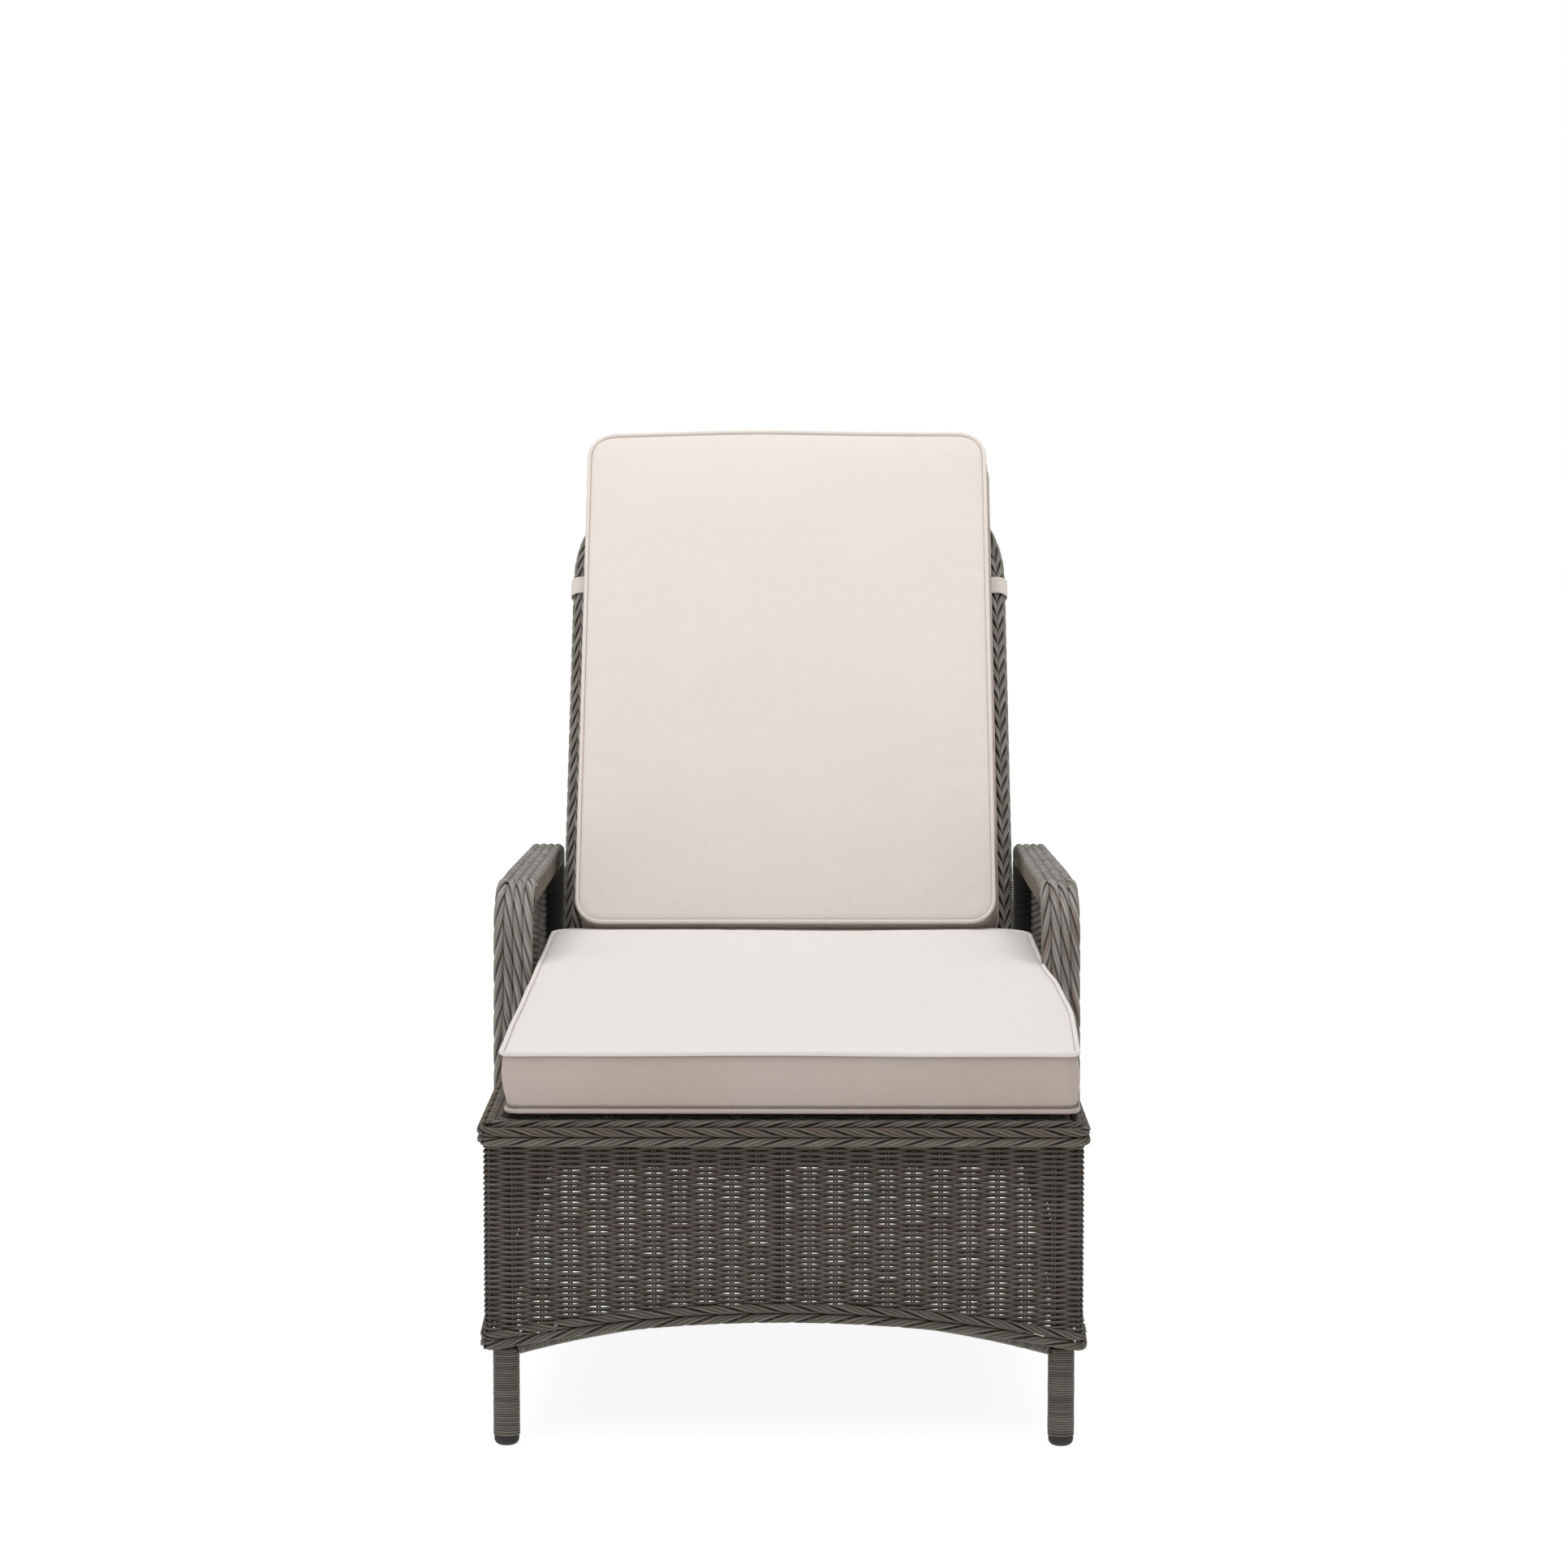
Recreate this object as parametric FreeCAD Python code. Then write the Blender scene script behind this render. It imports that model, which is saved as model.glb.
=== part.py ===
import FreeCAD, Part
import math
import os
from FreeCAD import Vector

# Reclining sun lounger: a woven base on an aluminium frame, two arms, a backrest that
# reclines on a prop stay, a seat cushion and a back cushion held by two straps.
# Millimetres. X is right, Y is back, Z is up. The origin is on the floor, under the
# middle of the base.

# ---------------------------------------------------------------- driving dimensions
base_half_length = 1092.5     # outer face of the front and rear weave
base_half_width = 371.0       # outer face of the side weave
weave = 8.0                   # thickness of every woven panel
weave_gap = 0.5               # between a woven panel and the rail behind it

rail_width = 15.0             # upper rails, box tube
rail_low = 352.0
rail_top = 393.0
rail_wall = 1.5
border_top = 410.5            # woven border that closes the top edge
border_low = 377.0
border_proud = 8.0            # how far the border stands out from the weave
border_depth = 18.0           # how far it covers the rail inwards

arch_end = 121.5              # lowest edge of the aprons beside the legs
front_rise = 37.2             # rise of the arch in the middle of the front and rear
side_rise = 55.0              # rise of the arch in the middle of each side
hem = 24.0                    # height of the lower woven border
hem_proud = 5.0
lower_rail_radius = 9.0
lower_rail_end = 124.0        # height of its centre line beside the legs
extra_rise = 7.0              # it rises more than the aprons' edge

leg_x = 345.0
leg_inset = 22.0              # leg centre, in from the front or rear weave
leg_radius = 14.0
wrap_radius = 17.0
wrap_top = 120.0
cap_radius = 15.6
cap_height = 12.5
cap_floor = 4.0
cap_round = 8.0

upright_radius = 11.0
upright_x = -8.0

deck_top = 415.0
deck_half_width = 345.0
deck_rear = 60.0
bar_depth = 15.0
bar_low = 382.0
deck_bar_places = (-782.0, -492.0, -202.0, 45.0)

# arms, measured from the front weave
arm_front = 790.0
arm_rear = 1410.0
arm_top = 610.0
arm_thick = 22.0
arm_bend = 75.0
arm_tube = 7.0
arm_tube_inset = 14.5         # from the arm's outer face to the tube's centre line
arm_front_inner = 361.0
arm_front_outer = 416.0
arm_rear_inner = 349.0
arm_rear_outer = 392.0
arm_foot = 170.0
arm_post_x = 392.0
arm_rear_x = 366.5
arm_wrap = 16.5
arm_panel_inner = 375.0
arm_bolt_heights = (330.0, 225.0)
bolt_radius = 3.0
bolt_head = 5.0
seat_gap = 0.5                # between the border's top and the arm that stands on it

# backrest, drawn lying flat behind the hinge and then turned up
hinge_y = 100.0
hinge_z = 360.0
upright_angle = 57.0          # backrest above the horizontal in its highest notch
back_rail_x = 328.0
back_rail_rise = 38.0         # rail centre above the hinge axis when flat
back_tube = 11.0
back_braid = 14.0
back_top = 960.0              # from the hinge to the outside of the top rail
back_corner = 212.0
back_wall = 1.5
back_panel_x = 311.5
back_panel_rise = 4.0         # from the rails' centre to the rear of the woven panel
back_tube_start = 4.0
panel_clearance = 1.0
braid_start = 34.0
cross_tube_place = 20.0
brace_place = 190.0
brace_radius = 8.0
brace_drop = 6.0

pin_radius = 5.0
pin_head_radius = 8.0
pin_head_thick = 5.0
pin_head_gap = 3.0            # from the pin's head to the lug
bracket_half = 25.0
bracket_drop = 20.0
spacer_radius = 8.0
spacer_gap = 0.2
lug_half = 12.0
lug_reach_start = 8.0
lug_reach_end = 30.0
lug_overlap = 3.0
rivet_radius = 4.0
rivet_head_radius = 7.0
rivet_head_outside = 6.0
running = 0.05                # radial clearance of a turning fit
plate = 4.0

prop_length = 300.0           # from the hinge to the prop pivot, and from there to the foot bar
prop_radius = 6.0
prop_x = 316.5
prop_bend = 30.0
eye_radius = 10.0
eye_thick = 5.0
eye_gap = 0.5                 # between the stay's eye and the tab it turns on
eye_arm = 45.0
eye_half = 5.5
prop_arm_start = 22.0
foot_gap = 0.4                # between the foot bar and the tips of the rack

rack_x = 271.0
rack_bar_top = 352.0
rack_bar_height = 25.0
rack_bar_depth = 20.0
rack_front_bar = 368.0
rack_rear_bar = 742.0
rack_notches = 8
notch_depth = 7.0
tooth_flat = 0.45             # share of the pitch along which a tooth's tip is flat
tooth_end = 0.60
tooth_gap = 2.0

# cushions
seat_half_width = 355.0
seat_front = 12.0             # behind the front weave
seat_rear = 1158.0
seat_low = 415.5
seat_top = 496.0
seat_round = 20.0
back_cushion_half_width = 311.0
back_cushion_low = 101.0      # along the backrest from the hinge
back_cushion_high = 966.0
back_cushion_rear = 52.3      # above the hinge axis when flat
back_cushion_thick = 75.0
strap_low = 718.5
strap_width = 29.0
strap_thick = 1.7
strap_gap = 0.2
strap_tail_inner = 50.0       # the tail's ends, inwards from the rail's centre line
strap_tail_outer = 9.0
strap_tail_gap = 0.3

front_y = -base_half_length
side_names = (("left", -1), ("right", 1))
end_names = (("front", -1), ("rear", 1))
axis_x = Vector(1, 0, 0)
axis_y = Vector(0, 1, 0)
axis_z = Vector(0, 0, 1)

exported = []


# ---------------------------------------------------------------- helpers
def box(x0, x1, y0, y1, z0, z1):
    low = Vector(min(x0, x1), min(y0, y1), min(z0, z1))
    return Part.makeBox(abs(x1 - x0), abs(y1 - y0), abs(z1 - z0), low)


def rod(start, end, radius):
    start = Vector(*start)
    end = Vector(*end)
    return Part.makeCylinder(radius, (end - start).Length, start, end - start)


def pipe(start, end, outer, wall):
    return rod(start, end, outer).cut(rod(start, end, outer - wall))


def joined(shapes):
    result = shapes[0]
    for shape in shapes[1:]:
        result = result.fuse(shape)
    return result.removeSplitter()


def without(shape, cutters):
    for cutter in cutters:
        shape = shape.cut(cutter)
    return shape


def mirrored(shape):
    return shape.mirror(Vector(0, 0, 0), axis_x)


def keep(name, shape):
    """Write one sub-part and report its size."""
    if not shape.isValid() or not shape.Solids:
        raise ValueError(name + " is not a valid solid")
    body = shape.Solids[0] if len(shape.Solids) == 1 else Part.makeCompound(shape.Solids)
    body.exportStep("parts/" + name + ".step")
    exported.append(name)
    print(name, len(shape.Solids), round(shape.Volume))


def arch_edge(half_span, end_height, rise):
    ends = (Vector(-half_span, 0, end_height), Vector(half_span, 0, end_height))
    return Part.Arc(ends[0], Vector(0, 0, end_height + rise), ends[1]).toShape()


def arched_plate(half_span, low, rise, top, top_rise, depth):
    """A plate in X and Z with an arched lower edge; the top is arched too if top_rise."""
    lower = arch_edge(half_span, low, rise)
    if top_rise:
        upper = arch_edge(half_span, top, top_rise)
    else:
        upper = Part.makeLine((-half_span, 0, top), (half_span, 0, top))
    left = Part.makeLine((-half_span, 0, low), (-half_span, 0, top))
    right = Part.makeLine((half_span, 0, low), (half_span, 0, top))
    wire = Part.Wire(Part.__sortEdges__([lower, right, upper, left]))
    return Part.Face(wire).extrude(Vector(0, depth, 0))


def arched_rod(half_span, end_height, rise, radius):
    """A round bar along an arch in the XZ plane, by turning its section about the arch's centre."""
    arch_radius = (half_span ** 2 + rise ** 2) / (2 * rise)
    centre = Vector(0, 0, end_height + rise - arch_radius)
    start = Vector(-half_span, 0, end_height)
    across = (start - centre).cross(axis_y)
    section = Part.Face(Part.Wire(Part.makeCircle(radius, start, across)))
    turn = 2 * math.degrees(math.asin(half_span / arch_radius))
    return section.revolve(centre, axis_y, turn)


def to_side(shape, sign):
    """Turn a front piece, drawn along X, so that it runs along Y on the left or right side."""
    turned = shape.copy()
    turned.rotate(Vector(0, 0, 0), axis_z, 90 * sign)
    return turned


def rail(x0, x1, y0, y1, along):
    """A box tube between rail_low and rail_top, open at both ends."""
    outer = box(x0, x1, y0, y1, rail_low, rail_top)
    wall_x = rail_wall if along == "y" else 0
    wall_y = rail_wall if along == "x" else 0
    inner = box(x0 + wall_x, x1 - wall_x, y0 + wall_y, y1 - wall_y,
                rail_low + rail_wall, rail_top - rail_wall)
    return outer.cut(inner)


def raised(shape):
    """Turn a backrest piece from its flat place up to its highest notch."""
    turned = shape.copy()
    turned.rotate(Vector(0, hinge_y, hinge_z), axis_x, upright_angle)
    return turned


def back_point(x, along, rise):
    return (x, hinge_y + along, hinge_z + rise)


# ---------------------------------------------------------------- legs and rails
rail_outer = base_half_width - weave - weave_gap
rail_inner = rail_outer - rail_width
end_outer = base_half_length - weave - weave_gap
wraps = []
for end, end_sign in end_names:
    for side, side_sign in side_names:
        x = side_sign * leg_x
        y = end_sign * (base_half_length - leg_inset)
        keep("leg_%s_%s" % (end, side), pipe((x, y, cap_floor), (x, y, rail_low), leg_radius, rail_wall))
        cap = rod((x, y, 0), (x, y, cap_height), cap_radius)
        rim = [edge for edge in cap.Edges if abs(edge.BoundBox.ZMax) < 1e-6 and edge.Closed]
        cap = cap.makeFillet(cap_round, rim)
        cap = cap.cut(rod((x, y, cap_floor), (x, y, cap_height), leg_radius))
        keep("foot_cap_%s_%s" % (end, side), cap)
        wraps.append(pipe((x, y, cap_height), (x, y, wrap_top), wrap_radius, wrap_radius - leg_radius))

for side, sign in side_names:
    keep("side_rail_" + side, rail(min(sign * rail_inner, sign * rail_outer),
                                   max(sign * rail_inner, sign * rail_outer),
                                   -end_outer, end_outer, "y"))
for end, sign in end_names:
    inner = sign * (end_outer - rail_width)
    outer = sign * end_outer
    keep(end + "_rail", rail(-rail_inner, rail_inner, min(inner, outer), max(inner, outer), "x"))


def lower_rail(leg_centre, rise):
    """Arched rail that ends where its tilted end faces meet the legs."""
    clear_span = leg_centre - leg_radius
    tilt = 2 * rise / clear_span
    return arched_rod(clear_span - lower_rail_radius * tilt, lower_rail_end, rise, lower_rail_radius)


front_lower = lower_rail(leg_x, front_rise + extra_rise)
side_lower = lower_rail(base_half_length - leg_inset, side_rise + extra_rise)
lower_rails = []
for end, sign in end_names:
    piece = front_lower.copy()
    piece.translate(Vector(0, sign * (end_outer - lower_rail_radius), 0))
    lower_rails.append(piece)
    keep("lower_rail_" + end, piece)
for side, sign in side_names:
    piece = to_side(side_lower, sign)
    piece.translate(Vector(sign * (rail_outer - lower_rail_radius), 0, 0))
    lower_rails.append(piece)
    keep("lower_rail_" + side, piece)
keep("leg_wraps", Part.makeCompound([without(wrap, lower_rails) for wrap in wraps]))

upright_y = -(end_outer - upright_radius)
upright_foot = lower_rail_end + front_rise + extra_rise
upright = rod((upright_x, upright_y, upright_foot), (upright_x, upright_y, rail_low), upright_radius)
keep("front_upright", without(upright, lower_rails))

# ---------------------------------------------------------------- arms
post_y = front_y + arm_front + arm_tube_inset
rear_post_y = front_y + arm_rear - arm_wrap
tube_z = arm_top - arm_tube_inset


def arm_frame():
    """Bent tube of the right arm: front post, top and rear post, with a ball at each bend."""
    reach = arm_bend - arm_tube_inset
    bend_z = tube_z - reach
    points = [(arm_post_x, post_y, arm_foot)]
    for angle in (180, 150, 120, 90):
        turn = math.radians(angle)
        points.append((arm_post_x - 1.0, post_y + reach + reach * math.cos(turn),
                       bend_z + reach * math.sin(turn)))
    for angle in (90, 60, 30, 0):
        turn = math.radians(angle)
        points.append((arm_rear_x, rear_post_y - reach + reach * math.cos(turn),
                       bend_z + reach * math.sin(turn)))
    points.append((arm_rear_x, rear_post_y, rail_top))
    pieces = [rod(start, end, arm_tube) for start, end in zip(points, points[1:])]
    pieces += [Part.makeSphere(arm_tube, Vector(*point)) for point in points[1:-1]]
    return joined(pieces)


def arm_band(inset, x0, x1):
    """The bent band of the arm seen from the side: front post, bend, top and rounded rear end."""
    y0 = front_y + arm_front
    y1 = front_y + arm_rear
    outer = box(x0, x1, y0, y1, arm_foot, arm_top)
    bends = [edge for edge in outer.Edges if edge.BoundBox.ZMin > arm_top - 1 and edge.BoundBox.XLength > 1]
    outer = outer.makeFillet(arm_bend, bends)
    inner = box(x0 - 1, x1 + 1, y0 + inset, y1 - inset, arm_foot - 1, arm_top - inset)
    bends = [edge for edge in inner.Edges
             if edge.BoundBox.ZMin > arm_top - inset - 1 and edge.BoundBox.XLength > 1]
    inner = inner.makeFillet(arm_bend - inset, bends)
    band = outer.cut(inner)
    rear_low = box(x0 - 1, x1 + 1, y1 - 3 * arm_wrap, y1 + 1, arm_foot - 1, arm_top - arm_bend)
    return band.cut(rear_low)


def arm_plan():
    """The arm narrows to the rear; its plan is a four-sided prism."""
    corners = [(arm_front_inner, arm_front), (arm_front_outer, arm_front),
               (arm_rear_outer, arm_rear), (arm_rear_inner, arm_rear), (arm_front_inner, arm_front)]
    wire = Part.makePolygon([Vector(x, front_y + y, 0) for x, y in corners])
    return Part.Face(wire).extrude(Vector(0, 0, arm_top + 10))


border_outer = base_half_width + border_proud
frame_tube = arm_frame()
cover = arm_band(arm_thick, arm_rear_inner - 10, arm_front_outer + 10).common(arm_plan())
arm_seat = border_top + seat_gap
cover = cover.cut(box(0, border_outer + seat_gap, -base_half_length, base_half_length, 0, arm_seat))
rear_wrap = rod((arm_rear_x, rear_post_y, arm_seat), (arm_rear_x, rear_post_y, arm_top - arm_bend),
                arm_wrap)
cover = joined([cover, rear_wrap]).cut(frame_tube)

bolts = []
for side, sign in side_names:
    for height in arm_bolt_heights:
        head = rod((sign * (rail_inner - bolt_head), post_y, height), (sign * rail_inner, post_y, height),
                   2 * bolt_radius)
        shank_end = arm_post_x - arm_tube + rail_wall
        shank = rod((sign * rail_inner, post_y, height), (sign * shank_end, post_y, height), bolt_radius)
        bolts.append(joined([head, shank]))
keep("arm_bolts", Part.makeCompound(bolts))

panel_top = arm_top - arm_thick
panel = box(arm_panel_inner, arm_panel_inner + weave, front_y + arm_front + arm_thick,
            front_y + arm_rear - arm_wrap, arm_seat, panel_top)
panel = without(panel, [cover, frame_tube, rear_wrap])
panel = max(panel.Solids, key=lambda solid: solid.Volume)
for side, sign in side_names:
    place = (lambda shape: shape) if sign > 0 else mirrored
    keep("arm_frame_" + side, without(place(frame_tube), bolts))
    keep("arm_cover_" + side, without(place(cover), bolts))
    keep("arm_panel_" + side, place(panel))

for side, sign in side_names:
    stile = box(sign * rail_inner, sign * rail_outer, post_y - rail_width / 2, post_y + rail_width / 2,
                arch_end, rail_low)
    stile = without(stile, lower_rails + bolts)
    keep("side_upright_" + side, max(stile.Solids, key=lambda solid: solid.BoundBox.ZMax))

# ---------------------------------------------------------------- woven panels of the base
apron_top = rail_top
inner_length = base_half_length - weave
hem_outer = base_half_width + hem_proud
hem_length = base_half_length + hem_proud


def end_piece(shape, sign):
    """Move a front piece, drawn from Y = 0 backwards, to the front or rear of the base."""
    placed = shape.copy()
    if sign > 0:
        placed.rotate(Vector(0, 0, 0), axis_z, 180)
    placed.translate(Vector(0, sign * base_half_length, 0))
    return placed


def side_piece(shape, sign):
    """Move a front piece, drawn from Y = 0 backwards, to the left or right of the base."""
    placed = shape.copy()
    placed.translate(Vector(0, -base_half_width, 0))
    return to_side(placed, sign)


front_panel = arched_plate(hem_outer, arch_end + hem, front_rise, apron_top, 0, weave)
front_panel = front_panel.common(box(-base_half_width, base_half_width, 0, weave, 0, apron_top))
side_panel = arched_plate(hem_length, arch_end + hem, side_rise, apron_top, 0, weave)
side_panel = side_panel.common(box(-inner_length, inner_length, 0, weave, 0, apron_top))
for end, sign in end_names:
    keep("apron_" + end, end_piece(front_panel, sign))
for side, sign in side_names:
    keep("apron_" + side, without(side_piece(side_panel, sign), bolts))

border_inside = box(-base_half_width, base_half_width, -base_half_length, base_half_length, 0, rail_top)
opening_x = base_half_width - border_depth
opening_y = base_half_length - border_depth
border_opening = box(-opening_x, opening_x, -opening_y, opening_y, 0, border_top + 1)
top_border = box(-border_outer, border_outer, -base_half_length - border_proud,
                 base_half_length + border_proud, border_low, border_top)
keep("top_border", without(top_border, [border_inside, border_opening, frame_tube, mirrored(frame_tube)]))

front_hem = arched_plate(hem_outer, arch_end, front_rise, arch_end + hem, front_rise, weave + hem_proud)
front_hem.translate(Vector(0, -hem_proud, 0))
side_hem = arched_plate(hem_length, arch_end, side_rise, arch_end + hem, side_rise, weave + hem_proud)
side_hem.translate(Vector(0, -hem_proud, 0))
hem_trim = box(-inner_length, inner_length, -hem_proud, weave, 0, rail_low)
hems = [end_piece(front_hem, sign) for end, sign in end_names]
hems += [side_piece(side_hem.common(hem_trim), sign) for side, sign in side_names]
arm_posts = [cover, mirrored(cover), frame_tube, mirrored(frame_tube)]
keep("bottom_border", without(joined(hems), arm_posts))

for number, place in enumerate(deck_bar_places, 1):
    bar = box(-rail_inner, rail_inner, place - bar_depth / 2, place + bar_depth / 2, bar_low, deck_top - weave)
    hollow = box(-rail_inner, rail_inner, place - bar_depth / 2 + rail_wall, place + bar_depth / 2 - rail_wall,
                 bar_low + rail_wall, deck_top - weave - rail_wall)
    keep("deck_bar_%d" % number, bar.cut(hollow))
keep("deck_weave", box(-deck_half_width, deck_half_width, front_y + border_depth + weave, deck_rear,
                       deck_top - weave, deck_top))

# ---------------------------------------------------------------- hinge
pins = []
spacers = []
head_inside = back_rail_x - plate / 2 - pin_head_gap - pin_head_thick
for side, sign in side_names:
    head_end = (sign * (head_inside + pin_head_thick), hinge_y, hinge_z)
    pin = joined([rod((sign * head_inside, hinge_y, hinge_z), head_end, pin_head_radius),
                  rod(head_end, (sign * rail_inner, hinge_y, hinge_z), pin_radius)])
    pins.append(pin)
    bracket = box(sign * (rail_inner - plate), sign * rail_inner, hinge_y - bracket_half,
                  hinge_y + bracket_half, hinge_z - bracket_drop, rail_top - 1)
    keep("hinge_bracket_" + side, bracket.cut(pin))
    spacer = rod((sign * (back_rail_x + plate / 2 + spacer_gap), hinge_y, hinge_z),
                 (sign * (rail_inner - plate), hinge_y, hinge_z), spacer_radius)
    spacers.append(spacer.cut(pin))
keep("hinge_pins", Part.makeCompound(pins))
keep("hinge_spacers", Part.makeCompound(spacers))

# ---------------------------------------------------------------- backrest
back_frame_end = back_top - back_braid
bend_centre = back_corner - back_braid
straight_end = back_frame_end - bend_centre


def u_frame(radius, start):
    """Solid bar along the backrest's U: two rails, two bends and the top rail."""
    pieces = []
    for sign in (-1, 1):
        x = sign * back_rail_x
        pieces.append(rod(back_point(x, start, back_rail_rise),
                          back_point(x, straight_end, back_rail_rise), radius))
        section = Part.Face(Part.Wire(Part.makeCircle(
            radius, Vector(*back_point(x, straight_end, back_rail_rise)), axis_y)))
        centre = Vector(*back_point(x - sign * bend_centre, straight_end, back_rail_rise))
        pieces.append(section.revolve(centre, axis_z, 90 * sign))
    top_x = back_rail_x - bend_centre
    pieces.append(rod(back_point(-top_x, back_frame_end, back_rail_rise),
                      back_point(top_x, back_frame_end, back_rail_rise), radius))
    return joined(pieces)


tube_outer = u_frame(back_tube, back_tube_start)
back_frame = tube_outer.cut(u_frame(back_tube - back_wall, back_tube_start))
cross_tube = rod(back_point(-back_rail_x, cross_tube_place, back_rail_rise),
                 back_point(back_rail_x, cross_tube_place, back_rail_rise), back_tube).cut(tube_outer)
cross_tube = max(cross_tube.Solids, key=lambda solid: solid.Volume)
brace = rod(back_point(-back_rail_x, brace_place, back_rail_rise - brace_drop),
            back_point(back_rail_x, brace_place, back_rail_rise - brace_drop), brace_radius).cut(tube_outer)
brace = max(brace.Solids, key=lambda solid: solid.Volume)


def ear(along, half, bore):
    """Plate that hangs from a backrest rail, with a bore on the level of the hinge axis."""
    x0 = back_rail_x - plate / 2
    x1 = back_rail_x + plate / 2
    round_end = rod(back_point(x0, along, 0), back_point(x1, along, 0), half)
    web = box(x0, x1, hinge_y + along - half, hinge_y + along + half, hinge_z, hinge_z + back_rail_rise)
    hole = rod(back_point(x0, along, 0), back_point(x1, along, 0), bore)
    return joined([round_end, web]).cut(hole).cut(tube_outer)


def lower_solid(shape):
    return min(shape.Solids, key=lambda solid: solid.BoundBox.ZMin)


lug = lower_solid(ear(0.0, lug_half, pin_radius + running))
lug_reach = box(back_rail_x - plate / 2, back_rail_x + plate / 2, hinge_y + lug_reach_start,
                hinge_y + lug_reach_end, hinge_z, hinge_z + back_rail_rise - back_tube + lug_overlap)
lug_bore = rod(back_point(0, 0, 0), back_point(base_half_width, 0, 0), pin_radius + running)
lug = joined([lug, lug_reach]).cut(tube_outer).cut(lug_bore)
lug = lower_solid(lug)
tab = lower_solid(ear(prop_length, lug_half - 1, rivet_radius))
braid = u_frame(back_braid, braid_start).cut(tube_outer)
braid = without(braid, [tab, mirrored(tab), brace])

panel_low = hinge_y + cross_tube_place + back_tube + panel_clearance
panel_high = hinge_y + back_top - 2 * back_braid - panel_clearance
panel_back = hinge_z + back_rail_rise + back_panel_rise
back_panel = box(-back_panel_x, back_panel_x, panel_low, panel_high, panel_back, panel_back + weave)
upper_corners = [edge for edge in back_panel.Edges
                 if edge.BoundBox.YMin > panel_high - 1 and edge.BoundBox.ZLength > 1]
back_panel = back_panel.makeFillet(bend_centre - back_braid - panel_clearance, upper_corners)

rivets = []
eye_inner = back_rail_x - plate / 2 - eye_gap - eye_thick
for sign in (-1, 1):
    stations = [(sign * x, hinge_y + prop_length, hinge_z)
                for x in (eye_inner - rivet_radius, eye_inner, back_rail_x + plate / 2,
                          back_rail_x + rivet_head_outside)]
    rivets.append(joined([rod(stations[0], stations[1], rivet_head_radius),
                          rod(stations[0], stations[3], rivet_radius),
                          rod(stations[2], stations[3], rivet_head_radius)]))

keep("backrest_frame", raised(back_frame))
keep("backrest_cross_tube", raised(without(cross_tube, [lug, mirrored(lug)])))
keep("backrest_brace", raised(brace))
keep("backrest_panel", raised(back_panel))
keep("backrest_braid", raised(braid))
keep("hinge_lugs", raised(Part.makeCompound([lug, mirrored(lug)])))
keep("prop_tabs", raised(Part.makeCompound([tab, mirrored(tab)])))
keep("prop_rivets", raised(Part.makeCompound(rivets)))


# ---------------------------------------------------------------- prop stay and racks
def prop_stay():
    """U-shaped stay drawn flat: an eye at each end, two arms and the foot bar."""
    pivot_y = hinge_y + prop_length
    foot_y = pivot_y + prop_length
    arm_start = pivot_y + prop_arm_start
    pieces = []
    for sign in (-1, 1):
        x = sign * prop_x
        pieces.append(rod((x, arm_start, hinge_z), (x, foot_y - prop_bend, hinge_z), prop_radius))
        section = Part.Face(Part.Wire(Part.makeCircle(
            prop_radius, Vector(x, foot_y - prop_bend, hinge_z), axis_y)))
        centre = Vector(x - sign * prop_bend, foot_y - prop_bend, hinge_z)
        pieces.append(section.revolve(centre, axis_z, 90 * sign))
        eye_in = sign * eye_inner
        eye_out = sign * (eye_inner + eye_thick)
        pieces.append(rod((eye_in, pivot_y, hinge_z), (eye_out, pivot_y, hinge_z), eye_radius))
        pieces.append(box(eye_in, eye_out, pivot_y, pivot_y + eye_arm,
                          hinge_z - eye_half, hinge_z + eye_half))
    bar_x = prop_x - prop_bend
    pieces.append(rod((-bar_x, foot_y, hinge_z), (bar_x, foot_y, hinge_z), prop_radius))
    bore = rod((-base_half_width, pivot_y, hinge_z), (base_half_width, pivot_y, hinge_z),
               rivet_radius + running)
    return joined(pieces).cut(bore)


def stood(shape):
    """Carry the stay from flat to the highest notch: it swings down from its pivot."""
    flat_pivot = Vector(0, hinge_y + prop_length, hinge_z)
    turn = math.radians(upright_angle)
    up_pivot = Vector(0, hinge_y + prop_length * math.cos(turn), hinge_z + prop_length * math.sin(turn))
    placed = shape.copy()
    placed.rotate(flat_pivot, axis_x, -upright_angle)
    placed.translate(up_pivot - flat_pivot)
    return placed


keep("prop_stay", stood(prop_stay()))

for name, place in (("rack_bar_front", rack_front_bar), ("rack_bar_rear", rack_rear_bar)):
    y0 = place - rack_bar_depth / 2
    y1 = place + rack_bar_depth / 2
    low = rack_bar_top - rack_bar_height
    bar = box(-rail_outer, rail_outer, y0, y1, low, rack_bar_top)
    hollow = box(-rail_outer, rail_outer, y0 + rail_wall, y1 - rail_wall, low + rail_wall,
                 rack_bar_top - rail_wall)
    keep(name, bar.cut(hollow))


def rack(x):
    """Toothed plate between the two rack bars; the foot bar slides over its tips."""
    tip = hinge_z - prop_radius - foot_gap
    y0 = rack_front_bar + rack_bar_depth / 2
    y1 = rack_rear_bar - rack_bar_depth / 2
    pitch = (y1 - y0) / rack_notches
    points = [Vector(x, y0, rack_bar_top - rack_bar_height), Vector(x, y0, tip)]
    for index in range(rack_notches):
        start = y0 + index * pitch
        points.append(Vector(x, start + tooth_flat * pitch, tip))
        points.append(Vector(x, start + tooth_end * pitch, tip - notch_depth))
        points.append(Vector(x, start + pitch - tooth_gap, tip))
    points.append(Vector(x, y1, tip))
    points.append(Vector(x, y1, rack_bar_top - rack_bar_height))
    points.append(points[0])
    return Part.Face(Part.makePolygon(points)).extrude(Vector(plate, 0, 0))


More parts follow.
